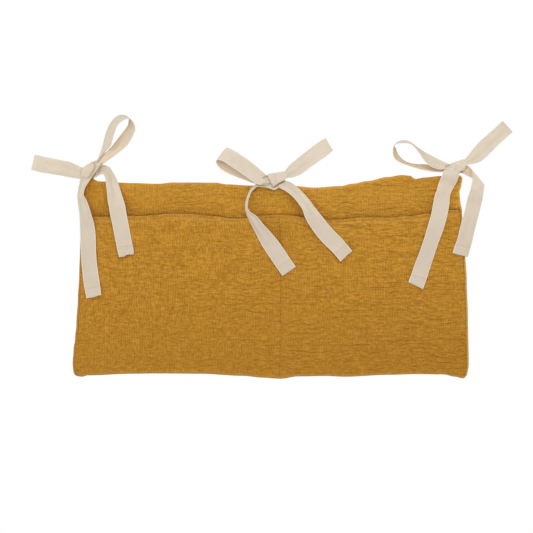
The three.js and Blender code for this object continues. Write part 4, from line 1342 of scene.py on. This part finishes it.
knotValues = {
    "coreSize": (15, 7.5, 12), "columns": 28, "rows": 60,
    "crown": 1.2,        # how far the wrap falls back from its middle to its edges
    "pleatWidth": 0.05,  # share of the wrap's width over which it steps down
    "turnRadius": 0.6, "turnColumns": 10,
    "leastTurn": 0.2,    # mm turned under, and the share of the seen width that it may reach
    "mostTurnShare": 0.42,
}


# What is left of the tape's width is turned under at both edges of a wrap.
def turnUnder(places, inward, outward):
    radius = knotValues["turnRadius"]
    breadth = np.linalg.norm(np.diff(places, axis=1), axis=2).sum(axis=1)[:, None]
    most = knotValues["mostTurnShare"] * breadth
    turned = np.clip((tape["width"] - breadth) / 2, knotValues["leastTurn"], most)
    way = turned * np.linspace(0, 1, knotValues["turnColumns"] + 1)[None, 1:] ** 1.6
    angle = np.minimum(way / radius, math.pi / 2)
    inside = radius * (1 - np.cos(angle)) + np.maximum(way - radius * math.pi / 2, 0)
    step = inside[:, :, None] * inward[:, None, :]
    behind = (radius * np.sin(angle))[:, :, None] * outward[:, None, :]
    first = (places[:, :1] + step - behind)[:, ::-1]
    last = places[:, -1:] - step - behind
    return np.concatenate([first, places, last], axis=1)


for tie, wrap in wraps.items():
    read = readTable(wrap["rows"], np.linspace(0, 1, knotValues["rows"]))
    left = placed(tie, read[:, 0], read[:, 1], knotForward + read[:, 4])
    right = placed(tie, read[:, 2], read[:, 3], knotForward + read[:, 5])
    middle = (left + right) / 2
    outward = unit(np.cross(unit(np.gradient(middle, axis=0)), unit(right - left)))
    u = np.linspace(0, 1, knotValues["columns"] + 1)[None, :]
    down = np.linspace(0, 1, knotValues["rows"])[:, None]
    past = u - lerp(wrap["pleatTop"], wrap["pleatBottom"], down)
    crown = knotValues["crown"] * (np.sqrt(np.maximum(1 - (2 * u - 1) ** 4, 0)) - 1)
    lower = smooth(past / knotValues["pleatWidth"])
    lift = crown + wrap["step"] * lower
    places = (left[:, None, :] + (right - left)[:, None, :] * u[:, :, None]
              + lift[:, :, None] * outward[:, None, :])
    places = turnUnder(places, unit(right - left), outward)
    # Painted shade along the pleat and on the lower tape beside it.
    pleat = np.maximum(wrap["dark"] * mark(past, 0.045), wrap["beside"] * lower)
    alongs = lengthsAlong(middle)
    margin = ((0, 0), (knotValues["turnColumns"], knotValues["turnColumns"]))
    acrosses = np.pad((u - 0.5) * tape["width"], margin, mode="edge")
    attributes = {"across": np.broadcast_to(acrosses, places.shape[:2]),
                  "along": np.broadcast_to(alongs[:, None], places.shape[:2]),
                  "contact": np.maximum(contactAt(tie, places), np.pad(pleat, margin, mode="edge"))}
    knotWrap = sheetObject(tie + "KnotWrap", places, tape["thickness"], cottonTape, attributes,
                           tapeValues["thinRim"])
    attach(knotWrap, "caddy")

    shape = bmesh.new()
    bmesh.ops.create_icosphere(shape, subdivisions=3, radius=0.5)
    bmesh.ops.scale(shape, vec=[size * mm for size in knotValues["coreSize"]], verts=shape.verts[:])
    kx, kz = knotPlaces[tie]
    coreAt = Vector((kx + wrap["core"][0], -knotForward, kz + wrap["core"][1]))
    bmesh.ops.translate(shape, vec=coreAt * mm, verts=shape.verts[:])
    coreData = bpy.data.meshes.new(tie + "KnotCore")
    shape.to_mesh(coreData)
    shape.free()
    core = solidObject(tie + "KnotCore", coreData, cottonTape)
    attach(core, "caddy")
    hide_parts(tie + "_knot")
print("knots are made")

bpy.context.view_layer.update()
